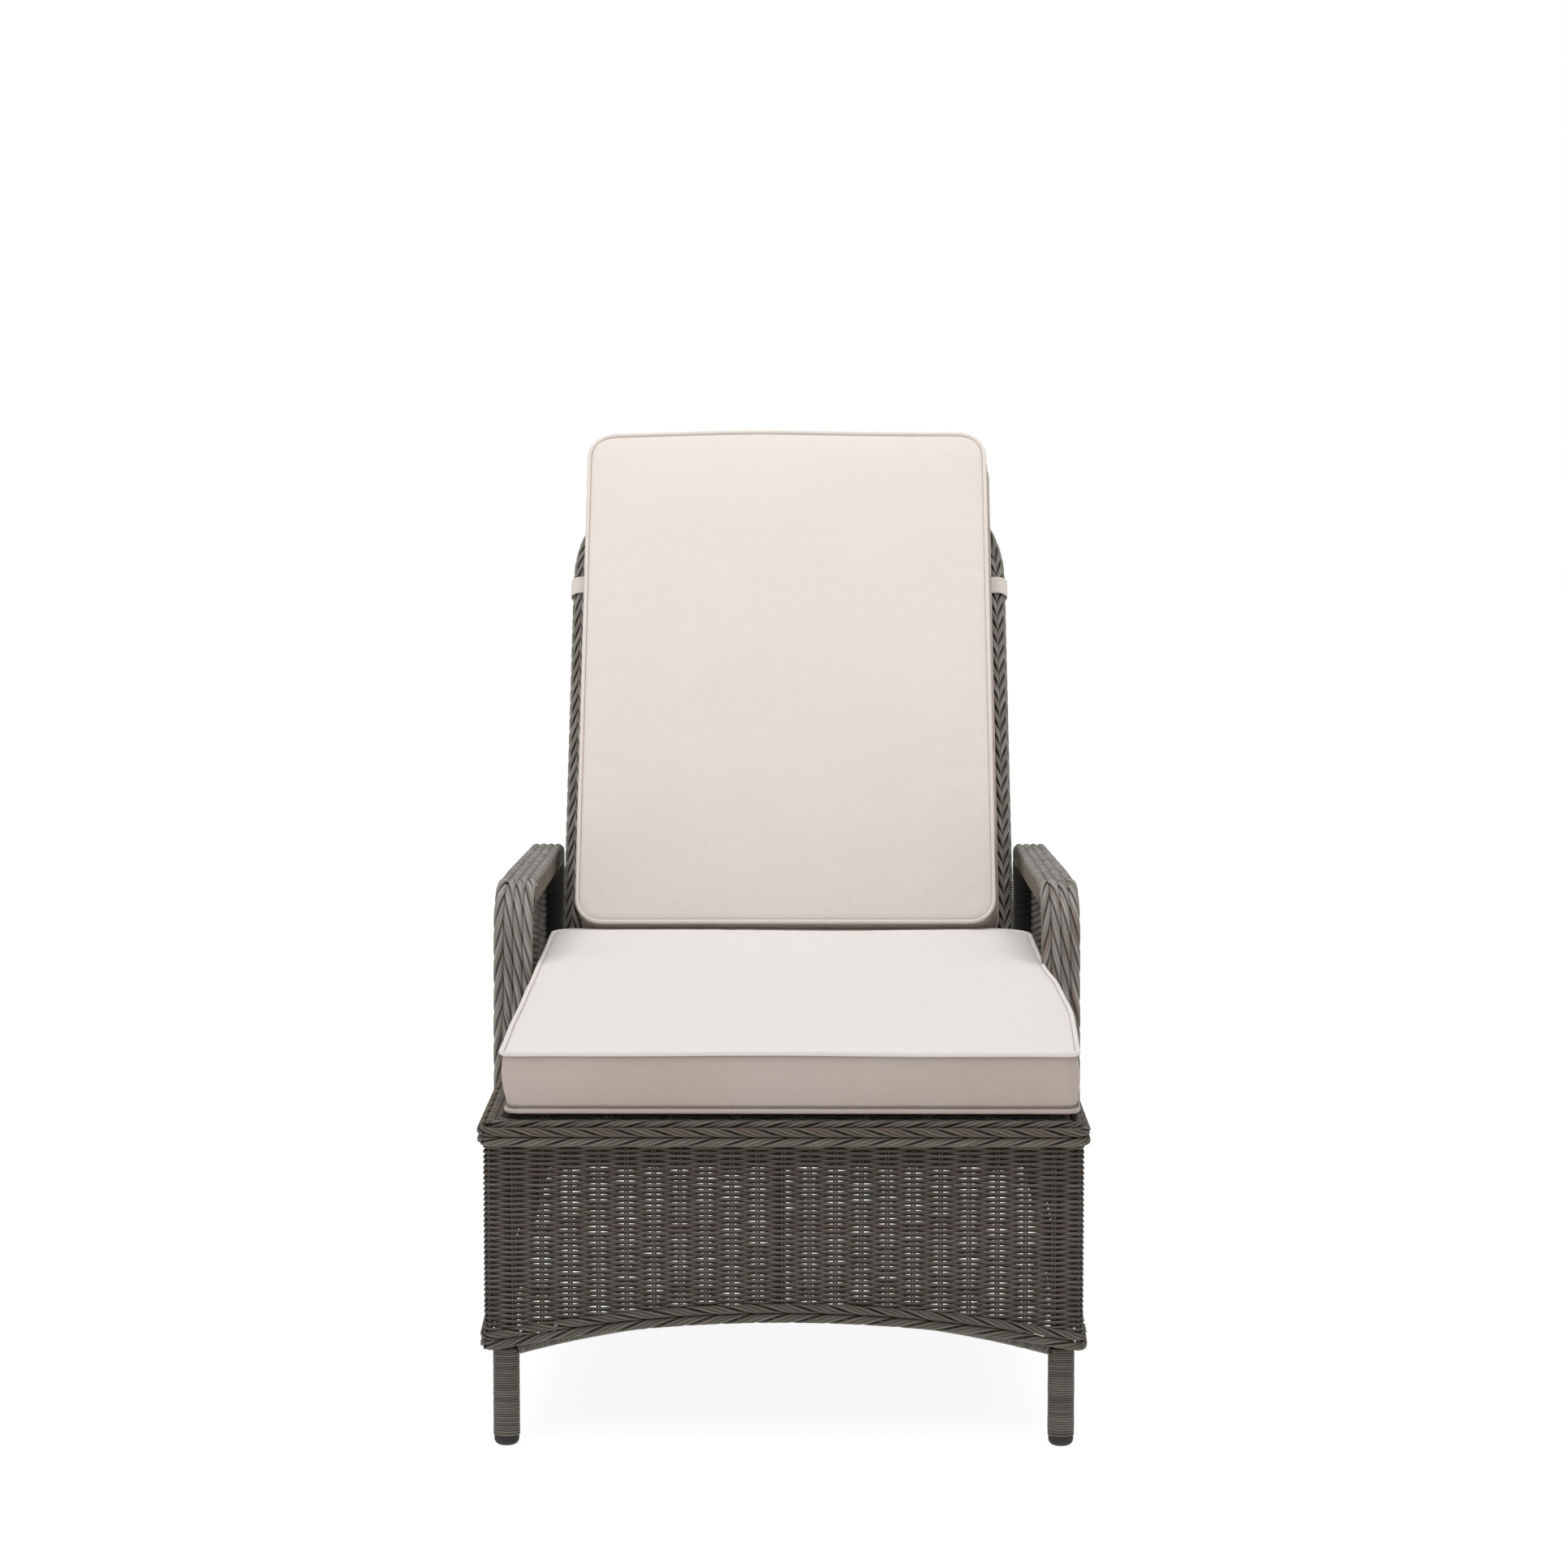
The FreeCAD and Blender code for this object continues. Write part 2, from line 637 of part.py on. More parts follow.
for side, sign in side_names:
    keep("rack_" + side, rack(sign * rack_x - plate / 2))


# ---------------------------------------------------------------- cushions and straps
def pillow(x, y0, y1, z0, z1, radius):
    """Closed solid of a cushion: a slab with rounded edges and corners."""
    slab = box(-x, x, y0, y1, z0, z1)
    return slab.makeFillet(radius, slab.Edges)


keep("seat_cushion", pillow(seat_half_width, front_y + seat_front, front_y + seat_rear, seat_low, seat_top,
                            seat_round))
back_cushion = pillow(back_cushion_half_width, hinge_y + back_cushion_low, hinge_y + back_cushion_high,
                      hinge_z + back_cushion_rear, hinge_z + back_cushion_rear + back_cushion_thick, seat_round)
keep("back_cushion", raised(back_cushion))

for side, sign in side_names:
    x = sign * back_rail_x
    inner_radius = back_braid + strap_gap
    outer_radius = inner_radius + strap_thick
    loop = rod(back_point(x, strap_low, back_rail_rise), back_point(x, strap_low + strap_width, back_rail_rise),
               outer_radius)
    hole = rod(back_point(x, strap_low - 1, back_rail_rise),
               back_point(x, strap_low + strap_width + 1, back_rail_rise), inner_radius)
    tail_low = hinge_z + back_cushion_rear - strap_tail_gap - strap_thick
    tail = box(sign * (back_rail_x - strap_tail_inner), sign * (back_rail_x - strap_tail_outer),
               hinge_y + strap_low, hinge_y + strap_low + strap_width, tail_low, tail_low + strap_thick)
    strap = joined([loop, tail]).cut(hole)
    keep("strap_" + side, raised(strap))

print(len(exported), "sub-parts")
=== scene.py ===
import math

import bpy
import numpy as np
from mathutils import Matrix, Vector


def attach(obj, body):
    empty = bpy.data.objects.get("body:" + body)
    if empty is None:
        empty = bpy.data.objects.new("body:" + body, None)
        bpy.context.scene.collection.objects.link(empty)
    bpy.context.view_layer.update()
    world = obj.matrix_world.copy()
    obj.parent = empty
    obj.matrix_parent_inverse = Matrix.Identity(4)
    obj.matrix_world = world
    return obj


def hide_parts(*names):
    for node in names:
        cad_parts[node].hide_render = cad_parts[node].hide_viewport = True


# Looks for the woven sun lounger. Metres, X right, Y back, Z up, floor at Z = 0.
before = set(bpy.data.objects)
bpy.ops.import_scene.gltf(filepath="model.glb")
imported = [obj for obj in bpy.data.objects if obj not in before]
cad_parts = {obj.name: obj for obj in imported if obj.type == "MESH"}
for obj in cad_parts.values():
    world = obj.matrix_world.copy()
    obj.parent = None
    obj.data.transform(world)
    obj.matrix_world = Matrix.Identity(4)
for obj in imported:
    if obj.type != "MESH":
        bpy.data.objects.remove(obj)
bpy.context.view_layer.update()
chance = np.random.default_rng(11)

# ---------- dimensions
STRAND = 0.0017               # radius of a weaving strand
ROW_PITCH = 0.00335
ROW_SWING = 0.0032             # how far a row passes in front of and behind the stakes
STAKE = 0.0015
STAKE_GAP = 0.0017             # from the middle of a pair of stakes to each of them
HALF_X = 0.3682                # middle plane of the base's weave
HALF_Y = 1.0885
CORNER = 0.012
FRONT_STAKES = (0.0, 0.032, 0.064, 0.096, 0.128, 0.16, 0.194, 0.229, 0.264, 0.299, 0.334)
SIDE_STAKES = 66
WEAVE_TOP = 0.384
ARCH_END = 0.1215              # height of the arched lower edge beside the legs
ARCH_SPAN = {"front": 0.376, "side": 1.0975}
ARCH_RISE = {"front": 0.0383, "side": 0.055}
HEM = 0.024
WRAP_PITCH = 0.003
BORDER_STRAND = 0.0021
BORDER_RADIUS = 0.004         # from a border rope's centre line to its strands
BORDER_PITCH = 0.088           # length of one full twist

LEG_X, LEG_Y = 0.345, 1.0705
LEG_LOW, LEG_TOP = 0.0127, 0.1235
LEG_WRAP = 0.0168
LOWER_RAIL_END = 0.124         # height of the lower rails' centre lines beside the legs
LOWER_RAIL_WRAP = 0.0094

ARM_FRONT = -0.3025
ARM_REAR = 0.3175
ARM_TOP = 0.61
ARM_FOOT = 0.17
ARM_BEND = 0.075
ARM_SEAT = 0.4112              # where the arm's full width begins, above the border
ARM_INNER = (0.361, 0.349)     # X of the arm's edges at its front and at its rear
ARM_OUTER = (0.416, 0.392)
ARM_PANEL = 0.379
ARM_FOOT_X, ARM_POST_X = 0.3977, 0.3675     # middle of the front post's foot, and of the rear post
ARM_CORE_INSET = 0.016        # depth of the core's centre line under the arm's outline
ARM_RIB_INSET = 0.0064
ARM_ROPE_INSET = 0.0068

DECK_FRONT, DECK_REAR = -1.069, 0.06
DECK_HALF = 0.345
DECK_HEIGHT = 0.4112
DECK_PITCH = 0.0062

HINGE_Y, HINGE_Z = 0.1, 0.36
BACK_TURN = math.radians(57.0)
RAIL_X = 0.328                 # the backrest rails' centre lines: across, and in front of the hinge line
RAIL_RISE = 0.038
RAIL_LOW, RAIL_TOP = 0.036, 0.946
RAIL_BEND = 0.198
PANEL_LOW, PANEL_TOP = 0.034, 0.932
PANEL_HALF = 0.3195
PANEL_BEND = 0.1895
PANEL_RISE = 0.0455

SEAT_HALF = 0.355
SEAT_BOTTOM, SEAT_TOP = 0.4225, 0.4935
BACK_HALF = 0.3085
BACK_BOTTOM, BACK_TOP = 0.0585, 0.1245      # in front of the hinge line
WELT = 0.0032                  # radius of the piping round a cushion's face
LOW_WELT = 0.0034
STRAP_LOW = 0.7125             # along the backrest from the hinge
STRAP_WIDTH = 0.029
STRAP_THICK = 0.0016
STRAP_RADIUS = 0.0171


# ---------- mesh helpers
def unit(vectors):
    return vectors / np.maximum(np.linalg.norm(vectors, axis=-1, keepdims=True), 1e-12)


def resample(points, step):
    """Evenly spaced points along a polyline, and their distance from its start."""
    points = np.asarray(points, float)
    lengths = np.linalg.norm(np.diff(points, axis=0), axis=1)
    reach = np.concatenate([[0.0], np.cumsum(lengths)])
    count = max(2, int(round(reach[-1] / step)) + 1)
    along = np.linspace(0.0, reach[-1], count)
    return np.stack([np.interp(along, reach, points[:, axis]) for axis in range(3)], 1), along


def frames(points, reference):
    """Tangent, normal and side of a path; the normal stays near the reference direction."""
    tangent = unit(np.gradient(points, axis=-2))
    reference = np.broadcast_to(np.asarray(reference, float), tangent.shape)
    normal = unit(reference - (reference * tangent).sum(-1, keepdims=True) * tangent)
    return tangent, normal, np.cross(tangent, normal)


class Weave:
    """Collects closed tubes and turns them into one mesh with the strand attributes."""

    def __init__(self):
        self.points, self.quads, self.caps, self.tones, self.grains, self.lights = [], [], [], [], [], []
        self.count = 0

    def grid(self, rings, tone, grain, light):
        """rings is (lines, rings, sides, 3); each line is one closed tube."""
        lines, length, sides, _ = rings.shape
        index = self.count + np.arange(lines * length * sides).reshape(lines, length, sides)
        ahead = np.roll(index, -1, axis=2)
        quads = np.stack([index[:, :-1], ahead[:, :-1], ahead[:, 1:], index[:, 1:]], -1)
        self.quads.append(quads.reshape(-1, 4))
        self.caps += [row[::-1] for row in index[:, 0]] + list(index[:, -1])
        self.points.append(rings.reshape(-1, 3))
        self.tones.append(np.broadcast_to(tone, (lines, length, sides)).reshape(-1))
        self.grains.append(np.broadcast_to(grain, (lines, length, sides, 3)).reshape(-1, 3))
        self.lights.append(np.broadcast_to(light, (lines, length, sides)).reshape(-1))
        self.count += lines * length * sides

    def strands(self, lines, radius, reference, sides=5, tone=None, flat=1.0, dark=0.2, light=1.0):
        """lines is (lines, points, 3). flat scales the strand along the reference direction.
        The side turned away from the reference is darker with painted shade, as if lit from the reference
        side: dark is its share of the full colour. light scales the strand's painted light."""
        lines = np.asarray(lines, float)
        if lines.ndim == 2:
            lines = lines[None]
        _, normal, side = frames(lines, reference)
        turn = np.arange(sides) / sides * 2 * math.pi + math.pi / sides
        radius = np.broadcast_to(np.asarray(radius, float), lines.shape[:2])[..., None, None]
        flat = np.broadcast_to(np.asarray(flat, float), lines.shape[:2])[..., None, None]
        ring = np.cos(turn)[:, None] * normal[:, :, None] * flat + np.sin(turn)[:, None] * side[:, :, None]
        if tone is None:
            tone = chance.random(len(lines))
        tone = np.asarray(tone, float).reshape(-1, 1, 1)
        step = np.linalg.norm(np.diff(lines, axis=1, prepend=lines[:, :1]), axis=-1)
        along = np.cumsum(step, axis=1)[..., None] + 0 * turn
        grain = np.stack([along * 9, np.cos(turn) * 1.4 + tone * 60 + 0 * along,
                          np.sin(turn) * 1.4 + 0 * along], -1)
        # painted shade: the colour falls off towards the side turned away from the reference
        light = light * (dark + (1 - dark) * (0.5 + 0.5 * np.cos(turn)) ** 1.6)
        self.grid(lines[:, :, None] + radius * ring, tone, grain, light)

    def wraps(self, path, reference, width, depth, pitch=WRAP_PITCH, bump=0.0013, sides=20, power=2.0,
              tilt=0.5, samples=4, light=1.0):
        """A core wound round with strand: rings of a superellipse section with rounded grooves between. The
        grooves get painted shade in the colour, and light scales the wrap's painted light.
        """
        path, along = resample(path, pitch / samples)
        _, normal, side = frames(path, reference)
        turn = np.arange(sides) / sides * 2 * math.pi
        cosine, sine = np.cos(turn), np.sin(turn)
        shape = (np.abs(cosine) ** power + np.abs(sine) ** power) ** (-1.0 / power)
        width, depth = (np.interp(along, np.linspace(0, along[-1], np.size(value)), np.atleast_1d(value))
                        for value in (width, depth))
        phase = (np.arange(len(path)) % samples) / samples
        wind = np.arange(len(path)) // samples
        jitter = chance.random(wind[-1] + 1)
        height = np.sqrt(np.maximum(0, 1 - (2 * phase - 1) ** 2)) * bump * (0.85 + 0.3 * jitter[wind])
        height = height[:, None]
        grow_x = (width[:, None] - bump) * shape * cosine + height * cosine
        grow_y = (depth[:, None] - bump) * shape * sine + height * sine
        ring = path[:, None] + grow_x[..., None] * normal[:, None] + grow_y[..., None] * side[:, None]
        tangent = unit(np.gradient(path, axis=0))
        ends = np.minimum(1, np.minimum(along, along[-1] - along) / (2 * pitch))
        ring = ring + (ends[:, None] * tilt * pitch * cosine)[..., None] * tangent[:, None]
        tone = jitter[wind][:, None] * 0.6 + 0.2 + 0 * turn
        grain = np.stack([turn * 0.12 * 9 + 0 * phase[:, None], phase[:, None] * 2.5 + 0 * turn,
                          jitter[wind][:, None] * 60 + 0 * turn], -1)
        # painted shade: the colour darkens into the grooves between the windings
        groove_shade = light * (0.12 + 0.88 * (height / height.max()) ** 1.5) + 0 * turn
        self.grid(ring[None], tone[None], grain[None], groove_shade[None])

    def build(self, name, material, body, slot="rattan", stands_for=()):
        points = np.concatenate(self.points)
        quads = np.concatenate(self.quads)
        loops = np.concatenate([quads.reshape(-1)] + [np.asarray(cap) for cap in self.caps])
        sizes = np.concatenate([np.full(len(quads), 4), [len(cap) for cap in self.caps]]).astype(int)
        starts = np.concatenate([[0], np.cumsum(sizes)[:-1]])
        mesh = bpy.data.meshes.new(name)
        mesh.vertices.add(len(points))
        mesh.vertices.foreach_set("co", points.astype(np.float32).ravel())
        mesh.loops.add(len(loops))
        mesh.loops.foreach_set("vertex_index", loops.astype(np.int32))
        mesh.polygons.add(len(sizes))
        mesh.polygons.foreach_set("loop_start", starts.astype(np.int32))
        mesh.update(calc_edges=True)
        mesh.polygons.foreach_set("use_smooth", np.arange(len(sizes)) < len(quads))
        for label, kind, field, values in (("tone", "FLOAT", "value", self.tones),
                                           ("light", "FLOAT", "value", self.lights),
                                           ("grain", "FLOAT_VECTOR", "vector", self.grains)):
            data = mesh.attributes.new(label, kind, "POINT").data
            data.foreach_set(field, np.concatenate(values).astype(np.float32).ravel())
        mesh.materials.append(material)
        return place(bpy.data.objects.new(name, mesh), body, stands_for)


def place(piece, body, stands_for=()):
    """Puts a piece on its body and hides the CAD nodes that it stands for."""
    if not piece.users_collection:
        bpy.context.scene.collection.objects.link(piece)
    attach(piece, body)
    if stands_for:
        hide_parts(*stands_for)
    return piece


def rope(weave, path, along, reference, radius, strand, pitch, turns, hand, sides=5, start=0.0):
    """Strands twisted round a path; turns are their angles in degrees at the path's start."""
    _, normal, side = frames(path, reference)
    angle = np.radians(np.asarray(turns, float))[:, None] + hand * 2 * math.pi * (along + start) / pitch
    out = np.cos(angle)[..., None] * normal + np.sin(angle)[..., None] * side
    radius = np.broadcast_to(np.asarray(radius, float), along.shape)[:, None]
    weave.strands(path + radius * out, strand, out, sides, dark=0.12)


def arc(centre, radius, start, end, count):
    """Points of an arc in a plane, angles in degrees."""
    angle = np.radians(np.linspace(start, end, count))
    return np.stack([centre[0] + radius * np.cos(angle), centre[1] + radius * np.sin(angle)], 1)


# ---------- materials
def new_material(name, roughness, specular=0.5, metallic=0.0):
    material = bpy.data.materials.new(name)
    material.use_nodes = True
    nodes = material.node_tree.nodes
    shader = nodes["Principled BSDF"]
    shader.inputs["Roughness"].default_value = roughness
    shader.inputs["Specular IOR Level"].default_value = specular
    shader.inputs["Metallic"].default_value = metallic
    return material, nodes, material.node_tree.links, shader


def ramp(nodes, stops):
    node = nodes.new("ShaderNodeValToRGB")
    elements = node.color_ramp.elements
    while len(elements) < len(stops):
        elements.new(0.5)
    for element, (position, colour) in zip(elements, stops):
        element.position = position
        element.color = (*colour, 1)
    return node


def linear(red, green, blue):
    """Linear colour of an sRGB triple from 11 to 255."""
    return tuple(((c / 255 + 0.055) / 1.055) ** 2.4 for c in (red, green, blue))


def noise(nodes, scale, detail=3.0, roughness=0.5):
    node = nodes.new("ShaderNodeTexNoise")
    node.inputs["Scale"].default_value = scale
    node.inputs["Detail"].default_value = detail
    node.inputs["Roughness"].default_value = roughness
    return node


def multiplied(nodes, links, first, second):
    node = nodes.new("ShaderNodeMix")
    node.data_type = "RGBA"
    node.blend_type = "MULTIPLY"
    node.inputs["Factor"].default_value = 1.0
    links.new(first, node.inputs[6])
    links.new(second, node.inputs[7])
    return node.outputs[2]


def bumped(nodes, links, shader, height, strength, distance):
    node = nodes.new("ShaderNodeBump")
    node.inputs["Strength"].default_value = strength
    node.inputs["Distance"].default_value = distance
    links.new(height, node.inputs["Height"])
    links.new(node.outputs["Normal"], shader.inputs["Normal"])


def attribute(nodes, name):
    node = nodes.new("ShaderNodeAttribute")
    node.attribute_name = name
    return node.outputs


def rattan(name, stops):
    """Resin strand: each one has its own tone, with fine grooves along it."""
    material, nodes, links, shader = new_material(name, 0.55, 0.4)
    tone = attribute(nodes, "tone")
    grain = attribute(nodes, "grain")
    colour = ramp(nodes, [(position, linear(*tint)) for position, tint in stops])
    links.new(tone["Fac"], colour.inputs["Fac"])
    streak = noise(nodes, 2.2, 4.0, 0.65)
    links.new(grain["Vector"], streak.inputs["Vector"])
    shade = ramp(nodes, [(0.3, (0.62, 0.61, 0.6)), (0.7, (1.22, 1.22, 1.22))])
    links.new(streak.outputs["Fac"], shade.inputs["Fac"])
    base = multiplied(nodes, links, colour.outputs["Color"], shade.outputs["Color"])
    # painted light and shade: the light attribute scales the strand colour
    base = multiplied(nodes, links, base, attribute(nodes, "light")["Color"])
    links.new(base, shader.inputs["Base Color"])
    rough = ramp(nodes, [(0.3, (0.66,) * 3), (0.7, (0.46,) * 3)])
    links.new(streak.outputs["Fac"], rough.inputs["Fac"])
    links.new(rough.outputs["Color"], shader.inputs["Roughness"])
    bumped(nodes, links, shader, streak.outputs["Fac"], 0.5, 0.0006)
    return material


def cloth(name, colour, shade):
    """Woven polyester: fine crossed threads, a faint slub and soft mottling."""
    material, nodes, links, shader = new_material(name, 0.85, 0.2)
    shader.inputs["Sheen Weight"].default_value = 0.15
    shader.inputs["Sheen Roughness"].default_value = 0.5
    place_node = nodes.new("ShaderNodeTexCoord")
    blotch = noise(nodes, 7.0, 2.0)
    links.new(place_node.outputs["Object"], blotch.inputs["Vector"])
    tint = ramp(nodes, [(0.38, linear(*shade)), (0.62, linear(*colour))])
    links.new(blotch.outputs["Fac"], tint.inputs["Fac"])
    heights = []
    for axis in ("X", "Y", "Z"):
        wave = nodes.new("ShaderNodeTexWave")
        wave.bands_direction = axis
        wave.inputs["Scale"].default_value = 350.0
        wave.inputs["Distortion"].default_value = 0.6
        links.new(place_node.outputs["Object"], wave.inputs["Vector"])
        heights.append(wave.outputs["Fac"])
    total = heights[0]
    for height in heights[1:]:
        add = nodes.new("ShaderNodeMath")
        add.operation = "MAXIMUM"
        links.new(total, add.inputs[0])
        links.new(height, add.inputs[1])
        total = add.outputs[0]
    slub = noise(nodes, 160.0, 2.0)
    links.new(place_node.outputs["Object"], slub.inputs["Vector"])
    thread = ramp(nodes, [(0.3, (0.965,) * 3), (0.7, (1.0,) * 3)])
    links.new(slub.outputs["Fac"], thread.inputs["Fac"])
    base = multiplied(nodes, links, tint.outputs["Color"], thread.outputs["Color"])
    links.new(base, shader.inputs["Base Color"])
    bumped(nodes, links, shader, total, 0.12, 0.0004)
    return material


def speckled(name, colour, spread, scale, roughness, metallic=0.0, specular=0.5, stretch=None):
    """Painted, moulded or brushed finish with fine speckle and small wear."""
    material, nodes, links, shader = new_material(name, roughness, specular, metallic)
    place_node = nodes.new("ShaderNodeTexCoord")
    mapping = nodes.new("ShaderNodeMapping")
    mapping.inputs["Scale"].default_value = stretch or (1, 1, 1)
    links.new(place_node.outputs["Object"], mapping.inputs["Vector"])
    grain = noise(nodes, scale, 4.0, 0.6)
    links.new(mapping.outputs["Vector"], grain.inputs["Vector"])
    low, high = (tuple(c * (1 + sign * spread) for c in linear(*colour)) for sign in (-1, 1))
    tint = ramp(nodes, [(0.35, low), (0.65, high)])
    links.new(grain.outputs["Fac"], tint.inputs["Fac"])
    links.new(tint.outputs["Color"], shader.inputs["Base Color"])
    rough = ramp(nodes, [(0.3, (roughness * 0.85,) * 3), (0.7, (min(1, roughness * 1.15),) * 3)])
    links.new(grain.outputs["Fac"], rough.inputs["Fac"])
    links.new(rough.outputs["Color"], shader.inputs["Roughness"])
    bumped(nodes, links, shader, grain.outputs["Fac"], 0.25, 0.0003)
    return material


GREYS = [(0.0, (126, 119, 110)), (0.3, (146, 141, 133)), (0.7, (158, 154, 147)),
         (0.9, (172, 168, 162)), (1.0, (144, 130, 119))]
BROWNS = [(0.0, (101, 94, 83)), (0.35, (116, 110, 99)), (0.75, (127, 121, 111)),
          (0.92, (114, 97, 86)), (1.0, (141, 136, 127))]
strand_grey = rattan("strand_grey", GREYS)
strand_brown = rattan("strand_brown", BROWNS)
cream = cloth("cream_fabric", (222, 214, 207), (221, 213, 205))
cream_seat = cloth("cream_seat_fabric", (227, 222, 219), (226, 221, 216))
# painted shade: the boxing cloth is a darker, warmer copy of the cream fabric, standing in for the shade on
# the cushions' side bands and lower piping
boxing = cloth("boxing_fabric_painted_shade", (191, 177, 168), (188, 173, 163))
# painted shadow: colour of the thin dark cords along the piping creases
painted_crease_shadow = cloth("painted_crease_shadow", (150, 142, 134), (140, 132, 125))
painted = speckled("painted_aluminium", (62, 58, 54), 0.12, 900.0, 0.5)
brushed = speckled("brushed_steel", (165, 165, 163), 0.08, 250.0, 0.32, 1.0, stretch=(8, 8, 1))
moulded = speckled("moulded_bush", (38, 38, 38), 0.1, 500.0, 0.55)
rubber = speckled("foot_rubber", (47, 45, 43), 0.15, 420.0, 0.68, specular=0.35)


# ---------- base weave
def perimeter(half_x, half_y, corner):
    """Points and outward normals round a rounded rectangle, from the middle of the front left corner."""
    points, normals = [], []
    corners = [(-1, -1, 225, 270), (1, -1, 270, 360), (1, 1, 0, 90), (-1, 1, 90, 180), (-1, -1, 180, 225)]
    for sign_x, sign_y, start, end in corners:
        angle = np.radians(np.linspace(start, end, max(3, int((end - start) / 15) + 1)))
        out = np.stack([np.cos(angle), np.sin(angle)], 1)
        points.append(np.array([sign_x * (half_x - corner), sign_y * (half_y - corner)]) + corner * out)
        normals.append(out)
    return np.concatenate(points), np.concatenate(normals)


def arch_height(distance, half_span, end, rise):
    """Height of an arch at a distance from its middle."""
    radius = (half_span ** 2 + rise ** 2) / (2 * rise)
    return end + rise - radius + np.sqrt(np.maximum(radius ** 2 - distance ** 2, 0))


def base_arch(x, y, end):
    """Height of the base's lower edge at a point of its perimeter."""
    front = arch_height(np.abs(x), ARCH_SPAN["front"], end, ARCH_RISE["front"])
    side = arch_height(np.abs(y), ARCH_SPAN["side"], end, ARCH_RISE["side"])
    on_side = np.abs(x) > HALF_X - CORNER * 0.3
    return np.where(on_side, side, front)


def base_path():
    """The weave's perimeter as functions of the distance round it, with the stakes' places."""
    points, normals = perimeter(HALF_X, HALF_Y, CORNER)
    reach = np.concatenate([[0], np.cumsum(np.linalg.norm(np.diff(points, axis=0), axis=1))])
    front = 2 * (HALF_X - CORNER) + math.pi * CORNER / 2
    side = 2 * (HALF_Y - CORNER) + math.pi * CORNER / 2
    scale = reach[-1] / (2 * front + 2 * side)
    offsets = sorted({-x for x in FRONT_STAKES} | set(FRONT_STAKES))
    half = [0.0] + [front / 2 + x for x in offsets]
    half += [front + side * k / SIDE_STAKES for k in range(SIDE_STAKES)]
    stakes = np.array(half + [front + side + s for s in half] + [2 * (front + side)]) * scale
    bounds = np.array([0, front, front + side, 2 * front + side, 2 * front + 2 * side]) * scale
    return reach, points, normals, stakes, bounds


reach, round_points, round_normals, stakes, side_bounds = base_path()
SIDES = ("front", "right", "rear", "left")


def on_base(s, offset):
    """Points at distance s round the weave, moved outwards by offset."""
    out = np.stack([np.interp(s, reach, round_normals[:, k]) for k in (0, 1)], 1)
    out = out / np.linalg.norm(out, axis=1, keepdims=True)
    flat = np.stack([np.interp(s, reach, round_points[:, k]) for k in (0, 1)], 1)
    return flat + out * np.asarray(offset)[..., None], out


def weave_side(number, name):
    """One woven side of the base: rows that pass in and out of pairs of stakes, over an arched edge."""
    weave = Weave()
    low, high = side_bounds[number], side_bounds[number + 1]
    inside = stakes[(stakes >= low - 1e-6) & (stakes <= high + 1e-6)]
    steps = {"front": 5, "rear": 4}.get(name, 3)
    sides = 6 if name == "front" else 5
    samples = []
    for k in range(len(inside) - 1):
        count = 9 if k in (0, len(inside) - 2) else steps
        samples.append(np.linspace(inside[k], inside[k + 1], count, endpoint=False))
    samples = np.append(np.concatenate(samples), inside[-1])
    phase = np.interp(samples, stakes, np.arange(len(stakes)))
    count = int((WEAVE_TOP - ARCH_END - HEM * 0.5) / ROW_PITCH)
    flat, _ = on_base(samples, np.zeros(len(samples)))
    edge = base_arch(flat[:, 0], flat[:, 1], ARCH_END) + HEM * 0.6
    wobble = np.random.default_rng(3)
    for row in range(count):
        height = WEAVE_TOP - row * ROW_PITCH
        shift, tone = wobble.random(4) * 6.3, wobble.random()
        swing = np.cos(math.pi * (phase + row % 2))
        place_on, _ = on_base(samples, ROW_SWING * swing)
        # A row is fuller between the stakes, most of all low down, so only small slits stay open.
        fuller = 0.27 + 0.13 * min(max((0.33 - height) / 0.13, 0), 1)
        taller = 1 + fuller * (1 - swing ** 2) ** 0.6
        drift = 0.00022 * (np.sin(samples * 23 + shift[0]) + np.sin(samples * 57 + shift[1]))
        line = np.column_stack([place_on, height + drift])
        seen = line[:, 2] > edge
        starts = np.flatnonzero(seen & ~np.append(False, seen[:-1]))
        stops = np.flatnonzero(seen & ~np.append(seen[1:], False)) + 1
        for start, stop in zip(starts, stops):
            if stop - start >= 3:
                weave.strands(line[start:stop], STRAND * (0.98 + 0.07 * tone), (0, 0, 1), sides, [tone],
                              taller[start:stop])
    for s in inside[1:-1] if name in ("left", "right") else inside:
        for gap in (-STAKE_GAP, STAKE_GAP):
            spot, out = on_base(np.array([s + gap]), np.zeros(1))
            foot = base_arch(spot[:, 0], spot[:, 1], ARCH_END)[0] + 0.006
            line = np.array([[*spot[0], foot], [*spot[0], 0.25], [*spot[0], WEAVE_TOP + 0.004]])
            weave.strands(line, STAKE, (*out[0], 0), 6)
    weave.build("apron_weave_" + name, strand_brown, "base", stands_for=["apron_" + name])


for number, name in enumerate(SIDES):
    weave_side(number, name)


# ---------- borders
BUNDLES = (-50, 0, 50, 130, 180, 230)       # two bundles of three strands, in degrees round a rope


